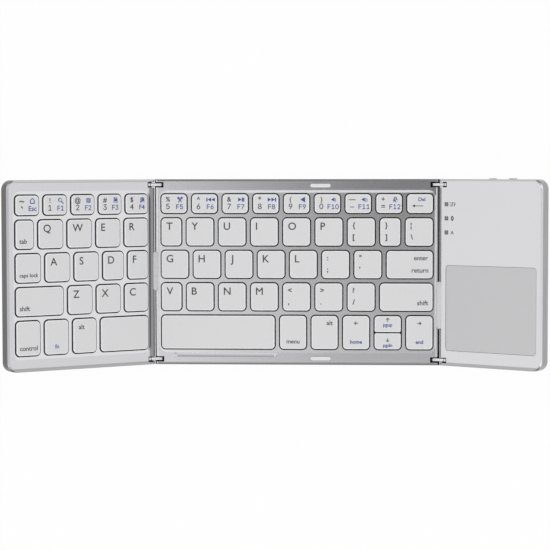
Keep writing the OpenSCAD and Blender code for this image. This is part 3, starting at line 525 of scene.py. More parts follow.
def keycap(width, depth, tight=0, height=2.2 * mm):
    """A keycap with its top at height zero, its middle at the origin, and tighter corners on one side."""
    bpy.ops.object.select_all(action="DESELECT")
    bpy.ops.mesh.primitive_cube_add(size=1, location=(0, 0, -height / 2), scale=(width, depth, height))
    cap = bpy.context.object
    bpy.ops.object.transform_apply(location=True, rotation=True, scale=True)
    bpy.ops.object.mode_set(mode="EDIT")
    bpy.ops.mesh.select_mode(type="EDGE")
    for side, radius in ((-1, 1.9 * mm), (1, 1.9 * mm)):
        pick(cap.data, edges=lambda e: abs(e.verts[0].co.z - e.verts[1].co.z) > height / 2
             and min(v.co.y * side for v in e.verts) > depth * 0.49)
        bpy.ops.mesh.bevel(offset=0.8 * mm if side == tight else radius, segments=7, affect="EDGES")
    pick(cap.data, edges=lambda e: min(v.co.z for v in e.verts) > -height * 0.01)
    bpy.ops.mesh.bevel(offset=0.48 * mm, segments=3, affect="EDGES")
    bpy.ops.mesh.select_mode(type="FACE")
    pick(cap.data, faces=lambda f: f.normal.z < -0.9)
    bpy.ops.mesh.inset(thickness=0.9 * mm)
    bpy.ops.mesh.extrude_region_move(TRANSFORM_OT_translate={"value": (0, 0, 1.2 * mm)})
    bpy.ops.object.mode_set(mode="OBJECT")
    bpy.ops.object.shade_smooth_by_angle(angle=math.radians(40))
    flattened(cap)
    # Painted highlight: the bevel's faces are marked so that the material paints them whiter.
    rim = cap.data.attributes.new("bevel", "FLOAT", "FACE")
    rim.data.foreach_set("value", [1.0 if 0.1 < f.normal.z < 0.98 else 0.0 for f in cap.data.polygons])
    # Painted shade: the upright skirt faces are marked so that the material paints them dark, as the shade in the gaps.
    skirt = cap.data.attributes.new("skirt", "FLOAT", "FACE")
    skirt.data.foreach_set("value", [1.0 if f.normal.z < 0.1 else 0.0 for f in cap.data.polygons])
    mesh = cap.data
    bpy.data.objects.remove(cap)
    return mesh


def flat_boxes(node, place):
    """The middle, width and depth of each cap of a CAD node, flat on its own panel, from left to right."""
    measured = bpy.data.objects.new("measured", frame["nodes"][node].data.copy())
    bpy.context.scene.collection.objects.link(measured)
    measured.data.transform(place.inverted())
    just(measured)
    bpy.ops.object.mode_set(mode="EDIT")
    bpy.ops.mesh.select_all(action="SELECT")
    bpy.ops.mesh.remove_doubles(threshold=2e-6)
    bpy.ops.mesh.separate(type="LOOSE")
    bpy.ops.object.mode_set(mode="OBJECT")
    found = []
    for part in list(bpy.context.selected_objects):
        xs, ys = [v.co.x for v in part.data.vertices], [v.co.y for v in part.data.vertices]
        middle = ((min(xs) + max(xs)) / 2, (min(ys) + max(ys)) / 2)
        found.append((middle[0], middle[1], max(xs) - min(xs), max(ys) - min(ys)))
        bpy.data.objects.remove(part)
    return sorted(found)


def joined(name, pieces):
    """One piece out of several."""
    bpy.ops.object.select_all(action="DESELECT")
    for piece in pieces:
        piece.select_set(True)
    bpy.context.view_layer.objects.active = pieces[0]
    if len(pieces) > 1:
        bpy.ops.object.join()
    pieces[0].name = name
    return pieces[0]


cap_white, cap_shader, cap_place = finish("keycap_plastic", Metallic=0.0, Coat_Roughness=0.35)
speckled = grains(cap_place, (5200, 5200, 5200), detail=2.0)
# The bevel mask paints the rim whiter, a painted highlight, and makes it smoother, a polished rim.
bevelled = cap_place.node("ShaderNodeAttribute", {"attribute_name": "bevel"}, output="Fac")
matt = speckled.between(0.3, 0.7).colours((0.75, 0.75, 0.76, 1), (0.775, 0.775, 0.785, 1))
# Skirt mask: painted shade on the caps' upright sides.
skirt_shade = cap_place.node("ShaderNodeAttribute", {"attribute_name": "skirt"}, output="Fac")
top_colour = bevelled.colours(matt, (0.95, 0.95, 0.96, 1))
skirt_shade.colours(top_colour, (0.16, 0.16, 0.165, 1)).feeds(cap_shader.inputs["Base Color"])
(0.46 + 0.10 * speckled - 0.18 * bevelled).feeds(cap_shader.inputs["Roughness"])
raised(speckled, 0.000003, 0.3).feeds(cap_shader.inputs["Normal"])

key_nodes = [node for node in frame["nodes"] if node.endswith(("_key", "_keys"))]
left_keys = [node for node in key_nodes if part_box(node)[1].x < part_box("centre_key_frame")[0].x]
patterns, key_boxes = {}, {}
for node in key_nodes:
    place = on_left if node in left_keys else on_middle
    key_boxes[node] = flat_boxes(node, place)
    caps = []
    for x, y, width, depth in key_boxes[node]:
        tight = {"up_arrow_key": -1, "down_arrow_key": 1}.get(node, 0)
        size = (round(width, 6), round(depth, 6), tight)
        if size not in patterns:
            patterns[size] = keycap(*size)
        cap = bpy.data.objects.new("cap", patterns[size].copy())
        bpy.context.scene.collection.objects.link(cap)
        cap.data.transform(place @ Matrix.Translation((x, y, 0)))
        caps.append(cap)
    body = frame["nodes"][node]["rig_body"]
    stands_for(joined(body + "_caps", caps), node, cap_white)


# Legends: letters, digits and the usual generic marks, printed on the caps in thin dark grey and blue
# ink. Names of makers' systems and marks that belong to a maker are left off.
def ink(name, colour):
    material, shader, place = finish(name, Metallic=0.0, Roughness=0.5)
    worn = grains(place, (3000, 3000, 3000), detail=3.0)
    faded = tuple(0.94 * c + 0.06 * 0.7 for c in colour)
    worn.between(0.35, 0.75).colours((*colour, 1), (*faded, 1)).feeds(shader.inputs["Base Color"])
    return material


grey_ink = ink("grey_ink", (0.035, 0.035, 0.04))
blue_ink = ink("blue_ink", (0.03, 0.06, 0.32))
for_digits = bpy.data.fonts.load(bpy.utils.system_resource("DATAFILES", path="fonts") + "/Inter.woff2")
lettered = {}


def fattened(word, by):
    """A mark with heavier strokes: four copies of it, each a little to one side."""
    copies = []
    for layer, (across, along) in enumerate(((-by, 0), (by, 0), (0, -by), (0, by))):
        copy = bpy.data.objects.new("stroke", word.data.copy())
        bpy.context.scene.collection.objects.link(copy)
        copy.data.transform(Matrix.Translation((across, along, 0.002 * layer * mm)))
        copies.append(copy)
    bpy.data.objects.remove(word)
    return joined("lettering", copies)


def long_arrow(length):
    """A thin arrow to the left, of a shaft and a small head."""
    bpy.ops.object.select_all(action="DESELECT")
    bpy.ops.mesh.primitive_cube_add(size=1, location=(0.1 * length, 0.6 * mm, 0), scale=(length, 0.16 * mm, 0.02 * mm))
    shaft = bpy.context.object
    bpy.ops.object.transform_apply(location=True, rotation=True, scale=True)
    bpy.ops.mesh.primitive_cylinder_add(
        vertices=3, radius=0.75 * mm, depth=0.02 * mm, location=(-0.4 * length, 0.6 * mm, 0), rotation=(0, 0, math.radians(90))
    )
    head = bpy.context.object
    bpy.ops.object.transform_apply(location=True, rotation=True, scale=True)
    return joined("arrow", [shaft, head])


def lettering(text, size, heavier=0.06):
    """A word or a mark as a thin film of ink, from its baseline's left end, its strokes heavier on each side."""
    if (text, size) not in lettered:
        if text == "long arrow":
            word = long_arrow(size * mm)
        else:
            bpy.ops.object.select_all(action="DESELECT")
            bpy.ops.object.text_add()
            word = bpy.context.object
            word.data.body, word.data.size = text, size
            word.data.resolution_u, word.data.extrude = 4, 0.01
            if text[-1].isdigit() and "4" not in text:
                word.data.font, word.data.size = for_digits, 1.34 * size
            bpy.ops.object.convert(target="MESH")
            word = bpy.context.object
            word.data.transform(Matrix.Scale(mm, 4))
        word = fattened(word, heavier * mm)
        xs = [v.co.x for v in word.data.vertices]
        ys = [v.co.y for v in word.data.vertices]
        lettered[text, size] = word.data, (min(xs), max(xs), min(ys), max(ys))
        bpy.data.objects.remove(word)
    return lettered[text, size]


# A style is the letters' size, which end is held ("left", "right", "middle" or a share of the width),
# how far it is from that side, and the baseline's distance from the rear (+) or front (-) edge.
styles = {
    "letter": (5.4, "left", 2.6, 5.9),
    "upper": (3.7, "left", 2.5, 4.8),
    "lower": (3.7, "left", 2.5, 10.8),
    "word": (3.3, "left", 1.8, -2.6),
    "long_word": (2.75, "left", 1.8, -2.6),
    "end_word": (3.4, "right", 2.2, -3.0),
    "end_top": (3.3, "right", 2.4, 4.7),
    "start_top": (3.4, "left", 2.9, 5.1),
    "foot_word": (2.7, "middle", 0, -2.9),
    "wide_foot_word": (3.1, "middle", 0, -2.9),
    "digit_top": (3.4, 0.265, 0, 3.7),
    "digit": (4.0, 0.265, 0, 7.6),
    "tilde": (4.8, 0.265, 0, 4.2),
    "grave": (6.0, 0.265, 0, 9.3),
    "f_top": (2.9, 0.745, 0, 3.8),
    "f_home": (4.0, 0.72, 0, 4.0),
    "f_word": (3.5, 0.73, 0, 7.6),
    "f_triple": (2.1, 0.745, 0, 3.5),
    "del_top": (2.6, 0.57, 0, 3.5),
    "del_arrow": (4.6, 0.41, 0, 6.6),
    "arrow": (2.8, "middle", 0, 4.6),
    "half_up_arrow": (2.6, "middle", 0, 2.8),
    "half_up_word": (2.5, "middle", 0, 5.3),
    "half_down_arrow": (2.6, "middle", 0, 4.5),
    "half_down_word": (2.5, "middle", 0, 7.0),
}
heavier = {"upper": 0.11, "lower": 0.11, "digit_top": 0.08, "f_top": 0.09, "f_home": 0.09, "f_triple": 0.06, "tilde": 0.1}
heavier |= {"grave": 0.12, "arrow": 0.1, "half_up_arrow": 0.1, "half_down_arrow": 0.1, "del_arrow": 0.1, "foot_word": 0.08}


def number(shifted, digit, icon, f_word):
    """The four marks of a cap in the rear row."""
    icon_style = "f_triple" if len(icon) > 1 else "f_home" if icon == "⌂" else "f_top"
    return [
        (shifted, "tilde" if shifted == "~" else "digit_top", grey_ink),
        (digit, "grave" if digit == "`" else "digit", grey_ink),
        (icon, icon_style, blue_ink), (f_word, "f_word", blue_ink),
    ]


def letters(row):
    return [[(letter, "letter", grey_ink)] for letter in row]


def pair(shifted, plain_mark):
    return [(shifted, "upper", grey_ink), (plain_mark, "lower", grey_ink)]


legends = {
    "left_number_keys": [
        number("~", "`", "⌂", "Esc"), number("!", "1", "\U0001F50D", "F1"), number("@", "2", "▤", "F2"),
        number("#", "3", "\U0001F5CE", "F3"), number("$", "4", "\U0001F4CB", "F4"),
    ],
    "centre_number_keys": [
        number("%", "5", "✂", "F5"), number("^", "6", "❙◀◀", "F6"), number("&", "7", "▶❙❙", "F7"),
        number("*", "8", "▶▶❙", "F8"), number("(", "9", "◀", "F9"), number(")", "0", "◀)", "F10"),
        number("—", "–", "◀))", "F11"), number("+", "=", "\U0001F512", "F12"),
    ],
    "delete_key": [[("Del", "del_top", blue_ink), ("long arrow", "del_arrow", grey_ink)]],
    "tab_key": [[("tab", "word", grey_ink)]],
    "left_upper_keys": letters("QWER"),
    "centre_upper_keys": letters("TYUIOP") + [pair("{", "["), pair("}", "]"), pair("¦", "\\")],
    "caps_lock_key": [[("caps lock", "long_word", grey_ink)]],
    "left_home_keys": letters("ASDF"),
    "centre_home_keys": letters("GHJKL") + [pair(":", ";"), pair("\"", "'")],
    "enter_key": [[("enter", "end_top", grey_ink), ("return", "end_word", grey_ink)]],
    "left_shift_key": [[("shift", "word", grey_ink)]],
    "left_lower_keys": letters("ZXC"),
    "centre_lower_keys": letters("VBNM") + [pair("<", ","), pair(">", "."), pair("?", "/")],
    "right_shift_key": [[("shift", "end_word", grey_ink)]],
    "control_key": [[("control", "word", grey_ink)]],
    "function_key": [[("fn", "wide_foot_word", blue_ink)]],
    "left_alt_key": [[("alt", "start_top", grey_ink)]],
    "menu_key": [[("menu", "wide_foot_word", grey_ink)]],
    "right_alt_key": [[("alt", "end_top", grey_ink)]],
    "left_arrow_key": [[("←", "arrow", grey_ink), ("home", "foot_word", blue_ink)]],
    "right_arrow_key": [[("→", "arrow", grey_ink), ("end", "foot_word", blue_ink)]],
    "up_arrow_key": [[("↑", "half_up_arrow", grey_ink), ("pgup", "half_up_word", blue_ink)]],
    "down_arrow_key": [[("↓", "half_down_arrow", grey_ink), ("pgdn", "half_down_word", blue_ink)]],
}
for node, caps in legends.items():
    place = on_left if node in left_keys else on_middle
    marks = []
    for (x, y, width, depth), texts in zip(key_boxes[node], caps):
        for text, style, colour in texts:
            size, held, inset, baseline = styles[style]
            mesh, (x0, x1, y0, y1) = lettering(text, size, heavier.get(style, 0.06))
            if held == "left":
                across = x - width / 2 + inset * mm - x0
            elif held == "right":
                across = x + width / 2 - inset * mm - x1
            else:
                across = x - width / 2 + (0.5 if held == "middle" else held) * width - (x0 + x1) / 2
            along = y + depth / 2 - baseline * mm if baseline > 0 else y - depth / 2 - baseline * mm
            mark = bpy.data.objects.new("mark", mesh.copy())
            bpy.context.scene.collection.objects.link(mark)
            mark.data.transform(place @ Matrix.Translation((across, along, 0.004 * mm)))
            mark.data.materials.clear()
            mark.data.materials.append(colour)
            marks.append(mark)
    body = frame["nodes"][node]["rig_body"]
    printed = joined(body + "_legends", marks)
    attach(printed, body)


# Hinge links and pins: steel links with round ends, bright on top with their sides painted near black as shade,
# two to a hinge, each turning on two pins, painted near black as shade, pressed into the blocks beside its pockets.
bright, bright_shader, bright_place = finish("bright_steel", Metallic=1.0)
drawn = grains(bright_place, (1500, 300, 1500), detail=2.0)
drawn.between(0.3, 0.7).colours((0.70, 0.70, 0.71, 1), (0.80, 0.80, 0.81, 1)).feeds(bright_shader.inputs["Base Color"])
(0.20 + 0.12 * drawn).feeds(bright_shader.inputs["Roughness"])
raised(drawn, 0.000002, 0.4).feeds(bright_shader.inputs["Normal"])
# Near-black steel, painted shade: it stands for the dark shade around the links in their pockets.
shade_dark, shade_dark_shader, shade_dark_place = finish("shade_dark_steel", Metallic=1.0)
shade_dark_grain = grains(shade_dark_place, (1500, 300, 1500), detail=2.0)
shade_dark_grain.between(0.3, 0.7).colours((0.02, 0.02, 0.023, 1), (0.04, 0.04, 0.044, 1)).feeds(shade_dark_shader.inputs["Base Color"])
(0.35 + 0.15 * shade_dark_grain).feeds(shade_dark_shader.inputs["Roughness"])
for node in ("left_hinge_links", "right_hinge_links"):
    links = stands_for(softened(node, 0.12 * mm), node, bright)
    for corner in links.data.vertices:
        amid = math.copysign(45 * mm, corner.co.y)
        narrow = 0.76 if corner.normal.z > 0.1 else 1
        corner.co.y = amid + narrow * (corner.co.y - amid)
    # Painted shade: the links' sloping sides take the near-black steel.
    lined(links, Matrix.Identity(4), shade_dark, lambda middle, normal: abs(normal.y) > 0.3)
# The pins are in the near-black steel too, as painted shade.
for node in ("left_hinge_pins", "right_hinge_pins"):
    stands_for(softened(node, 0.12 * mm), node, shade_dark)


# Touchpad: a smooth matt grey plate, glued over its green sensor board in its own recess, almost flush.
pad_grey, pad_shader, pad_place = finish("touchpad_film", Metallic=0.0)
dusted = grains(pad_place, (7000, 7000, 7000), detail=2.0)
dusted.between(0.3, 0.7).colours((0.595, 0.595, 0.605, 1), (0.625, 0.625, 0.635, 1)).feeds(pad_shader.inputs["Base Color"])
(0.42 + 0.08 * dusted).feeds(pad_shader.inputs["Roughness"])
raised(dusted, 0.000002, 0.25).feeds(pad_shader.inputs["Normal"])
stands_for(softened("touchpad_plate", 0.1 * mm), "touchpad_plate", pad_grey)


# Indicators: three smoked windows, each behind four fine slots of the top cover, with a small printed
# mark for charge, for the radio link and for capitals.
smoked, smoked_shader, smoked_place = finish("smoked_lens", Metallic=0.0, IOR=1.49)
hazed = grains(smoked_place, (1200, 1200, 1200), detail=2.0)
hazed.between(0.3, 0.7).colours((0.03, 0.03, 0.035, 1), (0.05, 0.05, 0.055, 1)).feeds(smoked_shader.inputs["Base Color"])
(0.10 + 0.08 * hazed).feeds(smoked_shader.inputs["Roughness"])
stands_for(softened("indicator_lenses", 0.08 * mm), "indicator_lenses", smoked)


def beam(width, depth, height, broken):
    """A bar with its top at height zero and its upper edges broken, centred over the origin."""
    bpy.ops.object.select_all(action="DESELECT")
    bpy.ops.mesh.primitive_cube_add(size=1, location=(0, 0, -height / 2), scale=(width, depth, height))
    bar = bpy.context.object
    bpy.ops.object.transform_apply(location=True, rotation=True, scale=True)
    bpy.ops.object.mode_set(mode="EDIT")
    bpy.ops.mesh.select_mode(type="EDGE")
    pick(bar.data, edges=lambda e: min(v.co.z for v in e.verts) > -height * 0.01)
    bpy.ops.mesh.bevel(offset=broken, segments=2, affect="EDGES")
    bpy.ops.object.mode_set(mode="OBJECT")
    bpy.ops.object.shade_smooth_by_angle(angle=math.radians(40))
    return bar


lamps = [(x, y) for x, y, width, depth in flat_boxes("indicator_lenses", on_right)]
slats = []
for x, y in lamps:
    for slot in (-0.5, 0, 0.5):
        slat = beam(0.12 * mm, 1.98 * mm, 0.3 * mm, 0.03 * mm)
        slat.data.transform(on_right @ Matrix.Translation((x + slot * mm, y, 0)))
        slats.append(slat)
grille = joined("indicator_slats", slats)
grille.data.materials.append(right_satin)
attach(grille, "right_wing")


def printed_bar(x, y, width, depth, colour, round_ends=False):
    """A flat mark of ink on the right wing: a bar, or an oval, round its middle."""
    bpy.ops.object.select_all(action="DESELECT")
    if round_ends:
        bpy.ops.mesh.primitive_cylinder_add(vertices=28, radius=0.5, depth=1, scale=(width, depth, 0.02 * mm))
    else:
        bpy.ops.mesh.primitive_cube_add(size=1, scale=(width, depth, 0.02 * mm))
    mark = bpy.context.object
    bpy.ops.object.transform_apply(location=True, rotation=True, scale=True)
    mark.data.transform(on_right @ Matrix.Translation((x, y, 0.004 * mm)))
    mark.data.materials.append(colour)
    return mark


def printed_word(x, y, text, size, colour, height=0.004):
    mesh, (x0, x1, y0, y1) = lettering(text, size)
    mark = bpy.data.objects.new("mark", mesh.copy())
    bpy.context.scene.collection.objects.link(mark)
    mark.data.transform(on_right @ Matrix.Translation((x - (x0 + x1) / 2, y - (y0 + y1) / 2, height * mm)))
    mark.data.materials.clear()
    mark.data.materials.append(colour)
    return mark


white_ink = ink("white_ink", (0.7, 0.7, 0.7))
beside = 3.4 * mm
front_lamp, middle_lamp, rear_lamp = sorted(lamps, key=lambda lamp: lamp[1])
cell_x, cell_y = rear_lamp[0] + beside, rear_lamp[1]
marks = [
    printed_bar(cell_x, cell_y + 0.85 * mm, 2.7 * mm, 0.22 * mm, grey_ink),
    printed_bar(cell_x, cell_y - 0.85 * mm, 2.7 * mm, 0.22 * mm, grey_ink),
    printed_bar(cell_x - 1.35 * mm, cell_y, 0.22 * mm, 1.92 * mm, grey_ink),
    printed_bar(cell_x + 1.35 * mm, cell_y, 0.22 * mm, 1.92 * mm, grey_ink),
    printed_bar(cell_x + 1.65 * mm, cell_y, 0.4 * mm, 0.8 * mm, grey_ink),
    printed_word(cell_x, cell_y, "\u26A1", 1.5, grey_ink),
    printed_bar(middle_lamp[0] + beside, middle_lamp[1], 1.7 * mm, 2.5 * mm, grey_ink, round_ends=True),
    printed_word(middle_lamp[0] + beside, middle_lamp[1], "))", 1.3, white_ink, height=0.018),
    printed_word(front_lamp[0] + beside, front_lamp[1], "A", 2.5, grey_ink),
]
printed = joined("indicator_marks", marks)
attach(printed, "right_wing")


# Rear edge controls: a pale sliding switch knob with ribs, a plain pale push button beside it, and the
# plated charging socket, whose shell ends just inside the wall.
pale_plastic, pale_shader, pale_place = finish("pale_plastic", Metallic=0.0)
sparked = grains(pale_place, (6000, 6000, 6000), detail=2.0)
sparked.between(0.3, 0.7).colours((0.62, 0.62, 0.63, 1), (0.66, 0.66, 0.67, 1)).feeds(pale_shader.inputs["Base Color"])
(0.40 + 0.10 * sparked).feeds(pale_shader.inputs["Roughness"])
raised(sparked, 0.000003, 0.3).feeds(pale_shader.inputs["Normal"])


def rear_control(node, place, ribs):
    """A knob or button as the CAD has it, with its outer face recessed between ribs."""
    x, y, width, depth = flat_boxes(node, place)[0]
    heights = [(place.inverted() @ v.co).z for v in frame["nodes"][node].data.vertices]
    height, middle = max(heights) - min(heights), (max(heights) + min(heights)) / 2
    bpy.ops.object.select_all(action="DESELECT")
    bpy.ops.mesh.primitive_cube_add(size=1, location=(x, y, middle), scale=(width, depth, height))
    knob = bpy.context.object
    bpy.ops.object.transform_apply(location=True, rotation=True, scale=True)
    bpy.ops.object.mode_set(mode="EDIT")
    bpy.ops.mesh.select_mode(type="EDGE")
    bpy.ops.mesh.select_all(action="SELECT")
    bpy.ops.mesh.bevel(offset=0.16 * mm, segments=3, affect="EDGES")
    bpy.ops.object.mode_set(mode="OBJECT")
    bpy.ops.object.shade_smooth_by_angle(angle=math.radians(40))
    grooves = []
    for rib in range(ribs):
        across = x + (rib - (ribs - 1) / 2) * 0.62 * mm
        bpy.ops.mesh.primitive_cube_add(
            size=1, location=(across, y + depth / 2, middle), scale=(0.3 * mm, 0.3 * mm, height * 1.4)
        )
        grooves.append(bpy.context.object)
        bpy.ops.object.transform_apply(location=True, rotation=True, scale=True)
    if grooves:
        cutter = joined("cutter", grooves)
        cut = knob.modifiers.new("grooves", "BOOLEAN")
        cut.operation, cut.object, cut.solver = "DIFFERENCE", cutter, "EXACT"
        just(knob)
        bpy.ops.object.modifier_apply(modifier=cut.name)
        bpy.data.objects.remove(cutter)
    knob.data.transform(place)
    knob.name = node + "_finished"
    return knob


stands_for(rear_control("power_switch_knob", on_right, 5), "power_switch_knob", pale_plastic)
stands_for(rear_control("pairing_button", on_right, 0), "pairing_button", pale_plastic)

plated, plated_shader, plated_place = finish("plated_steel", Metallic=1.0)
rubbed = grains(plated_place, (400, 2400, 400), detail=2.0)
rubbed.between(0.3, 0.7).colours((0.72, 0.72, 0.73, 1), (0.80, 0.80, 0.80, 1)).feeds(plated_shader.inputs["Base Color"])
(0.12 + 0.12 * rubbed).feeds(plated_shader.inputs["Roughness"])
stands_for(softened("charging_socket", 0.05 * mm), "charging_socket", plated)


# Flex cables: flat white film strips that carry the wires over each hinge, lying in a notch of the rim
# and diving through a slot to the boards. Each is drawn in two halves that meet at the knee in the gap.
film_white, film_shader, film_place = finish("cable_film", Metallic=0.0)
creased = grains(film_place, (500, 4000, 500), detail=2.0)
creased.between(0.3, 0.7).colours((0.78, 0.78, 0.79, 1), (0.86, 0.86, 0.87, 1)).feeds(film_shader.inputs["Base Color"])
(0.30 + 0.12 * creased).feeds(film_shader.inputs["Roughness"])
raised(creased, 0.000004, 0.4).feeds(film_shader.inputs["Normal"])


def film_strip(name, knee, middle, length):
    """Half a cable, drawn with the hinge line at x zero and the panel on the positive side."""
    steps = [(0.3, 0), (0.35, 0), (1.4 - knee - 0.85, 0), (0.134, -0.027), (0.113, -0.076), (0.076, -0.113), (0.027, -0.134)]
    steps += [(0, -0.8), (0, -0.9), (0, -1.0), (0.03, -0.1), (0.07, -0.07), (0.1, -0.03), (1.5, 0), (1.6, 0)]
    bpy.ops.object.select_all(action="DESELECT")
    bpy.ops.mesh.primitive_plane_add(size=1, location=((knee + 0.105) * mm, middle * mm, -1.35 * mm))
    strip = bpy.context.object
    strip.scale = (0.2 * mm, length * mm, 1)
    bpy.ops.object.transform_apply(location=True, rotation=True, scale=True)
    bpy.ops.object.mode_set(mode="EDIT")
    bpy.ops.mesh.select_mode(type="EDGE")
    pick(strip.data, edges=lambda e: min(v.co.x for v in e.verts) > (knee + 0.15) * mm)
    for across, down in steps:
        bpy.ops.mesh.extrude_region_move(TRANSFORM_OT_translate={"value": (across * mm, 0, down * mm)})
    bpy.ops.object.mode_set(mode="OBJECT")
    sheet = strip.modifiers.new("film", "SOLIDIFY")
    sheet.thickness, sheet.offset = 0.3 * mm, 0
    bpy.ops.object.modifier_apply(modifier=sheet.name)
    bpy.ops.object.shade_smooth_by_angle(angle=math.radians(40))
    strip.name = name
    strip.data.materials.append(film_white)
    return strip


mirrored_over = Matrix.Scale(-1, 4, (1, 0, 0))
for hinge, wing, place, side, middle, length, open_half in (
    ("left", "left_wing", on_left, -1, 0.4, 19.3, 18), ("right", "right_wing", on_right, 1, -16.9, 23.9, 16)
):
    knee = 3.1 - (3.1 - 1.45 * math.sin(math.radians(open_half))) / math.cos(math.radians(open_half))
    middle_edge = on_middle @ Matrix.Translation((side * 73.65 * mm, 0, 0))
    inner = middle_edge @ (mirrored_over if side > 0 else Matrix.Identity(4))
    outer = place @ (mirrored_over if side < 0 else Matrix.Identity(4))
    for part, spot in (("inner", inner), ("outer", outer)):
        strip = film_strip(hinge + "_cable_" + part, knee, middle, length)
        strip.data.transform(spot)
        just(strip)
        bpy.ops.object.mode_set(mode="EDIT")
        bpy.ops.mesh.select_all(action="SELECT")
        bpy.ops.mesh.normals_make_consistent(inside=False)
        bpy.ops.object.mode_set(mode="OBJECT")
        knee_at, held_at = spot @ Vector((knee * mm, 0, -1.35 * mm)), spot @ Vector((1.4 * mm, 0, -1.35 * mm))
        if part == "inner":
            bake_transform(strip)
        else:
            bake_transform(strip)
        if part == "inner":
            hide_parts(hinge + "_flex_cable")


# Bumper pads and feet: soft white pads let into the rims between the folded panels, and dark rubber feet
# glued into shallow seats in the bottom covers.
soft_white, soft_shader, soft_place = finish("pad_rubber", Metallic=0.0)
powdered = grains(soft_place, (4000, 4000, 4000), detail=2.0)
powdered.between(0.3, 0.7).colours((0.80, 0.80, 0.81, 1), (0.86, 0.86, 0.86, 1)).feeds(soft_shader.inputs["Base Color"])
(0.5 + 0.1 * powdered).feeds(soft_shader.inputs["Roughness"])
stands_for(softened("bumper_pads", 0.15 * mm, 2), "bumper_pads", soft_white)

foot_rubber, foot_shader, foot_place = finish("foot_rubber", Metallic=0.0)
worn_foot = grains(foot_place, (3000, 3000, 3000), detail=3.0)
worn_foot.between(0.3, 0.7).colours((0.025, 0.025, 0.027, 1), (0.05, 0.05, 0.052, 1)).feeds(foot_shader.inputs["Base Color"])
(0.6 + 0.2 * worn_foot).feeds(foot_shader.inputs["Roughness"])
raised(worn_foot, 0.00002, 0.5).feeds(foot_shader.inputs["Normal"])
for node in ("centre_feet", "left_feet", "right_feet"):
    stands_for(softened(node, 0.2 * mm, 3), node, foot_rubber)


# Cover screws: small pan heads with a cross recess, and a ridged shank that cuts its own thread in the
# bosses, fourteen alike.
def cover_screw():
    """A screw that points up, with the underside of its head's face at the origin."""
    bpy.ops.object.select_all(action="DESELECT")
    bpy.ops.mesh.primitive_cylinder_add(vertices=28, radius=1.5 * mm, depth=0.7 * mm, location=(0, 0, 0.35 * mm))
    screw = bpy.context.object
    bpy.ops.object.transform_apply(location=True, rotation=True, scale=True)
    bpy.ops.object.mode_set(mode="EDIT")
    bpy.ops.mesh.select_mode(type="FACE")
    pick(screw.data, faces=lambda f: f.normal.z < -0.9)
    bpy.ops.mesh.bevel(offset=0.22 * mm, segments=3, affect="EDGES")
    pick(screw.data, faces=lambda f: f.normal.z > 0.9)
    bpy.ops.mesh.inset(thickness=0.86 * mm)
    for ridge in range(9):
        bpy.ops.mesh.extrude_region_move(TRANSFORM_OT_translate={"value": (0, 0, 0.2 * mm)})
        bpy.ops.transform.resize(value=(1.093, 1.093, 1), center_override=(0, 0, 0))
        bpy.ops.mesh.extrude_region_move(TRANSFORM_OT_translate={"value": (0, 0, 0.2 * mm)})
        bpy.ops.transform.resize(value=(0.915, 0.915, 1), center_override=(0, 0, 0))
    bpy.ops.object.mode_set(mode="OBJECT")
    arms = []
    for width, depth in ((1.9, 0.36), (0.36, 1.9)):
        bpy.ops.object.select_all(action="DESELECT")
        bpy.ops.mesh.primitive_cube_add(size=1, location=(0, 0, 0), scale=(width * mm, depth * mm, 0.9 * mm))
        bpy.ops.object.transform_apply(location=True, rotation=True, scale=True)
        arms.append(bpy.context.object)
    for arm in arms:
        cut = screw.modifiers.new("recess", "BOOLEAN")
        cut.operation, cut.object, cut.solver = "DIFFERENCE", arm, "EXACT"
        just(screw)
        bpy.ops.object.modifier_apply(modifier=cut.name)
        bpy.data.objects.remove(arm)
    bpy.ops.object.shade_smooth_by_angle(angle=math.radians(35))
    mesh = screw.data
    bpy.data.objects.remove(screw)
    return mesh


one_screw = cover_screw()
for node, place in (("centre_screws", on_middle), ("left_screws", on_left), ("right_screws", on_right)):
    screws = []
    for x, y, width, depth in flat_boxes(node, place):
        screw = bpy.data.objects.new("screw", one_screw.copy())
        bpy.context.scene.collection.objects.link(screw)
        turned = Matrix.Rotation(0.7 * x / mm, 4, "Z")
        screw.data.transform(place @ Matrix.Translation((x, y, -7.0 * mm)) @ turned)
        screws.append(screw)
    stands_for(joined(node + "_finished", screws), node, bright)


# What lies inside: rolled steel base plates, the printed switch membranes, grey rubber domes, green
# boards, the foil cell and the switch body. Only their edges show between the keys.
def dressed(node, material):
    """A CAD solid keeps its shape and gets a better material."""
    for slot in frame["nodes"][node].material_slots:
        slot.material = material


rolled, rolled_shader, rolled_place = finish("rolled_steel", Metallic=1.0)
rolling = grains(rolled_place, (40, 1800, 40), detail=3.0)
rolling.between(0.3, 0.7).colours((0.50, 0.50, 0.51, 1), (0.60, 0.60, 0.61, 1)).feeds(rolled_shader.inputs["Base Color"])
(0.30 + 0.15 * rolling).feeds(rolled_shader.inputs["Roughness"])
for node in ("centre_base_plate", "left_base_plate"):
    dressed(node, rolled)

# The membranes are coloured near black, as painted shade for the gaps around the keys; the fine traces are print.
film, membrane_shader, membrane_place = finish("switch_membrane", Metallic=0.0)
traced = grains(membrane_place, (260, 900, 260), detail=1.0)
traced.between(0.5, 0.56).colours((0.03, 0.03, 0.034, 1), (0.07, 0.07, 0.075, 1)).feeds(membrane_shader.inputs["Base Color"])
(0.35 + 0.2 * traced).feeds(membrane_shader.inputs["Roughness"])
for node in ("centre_membrane", "left_membrane"):
    dressed(node, film)

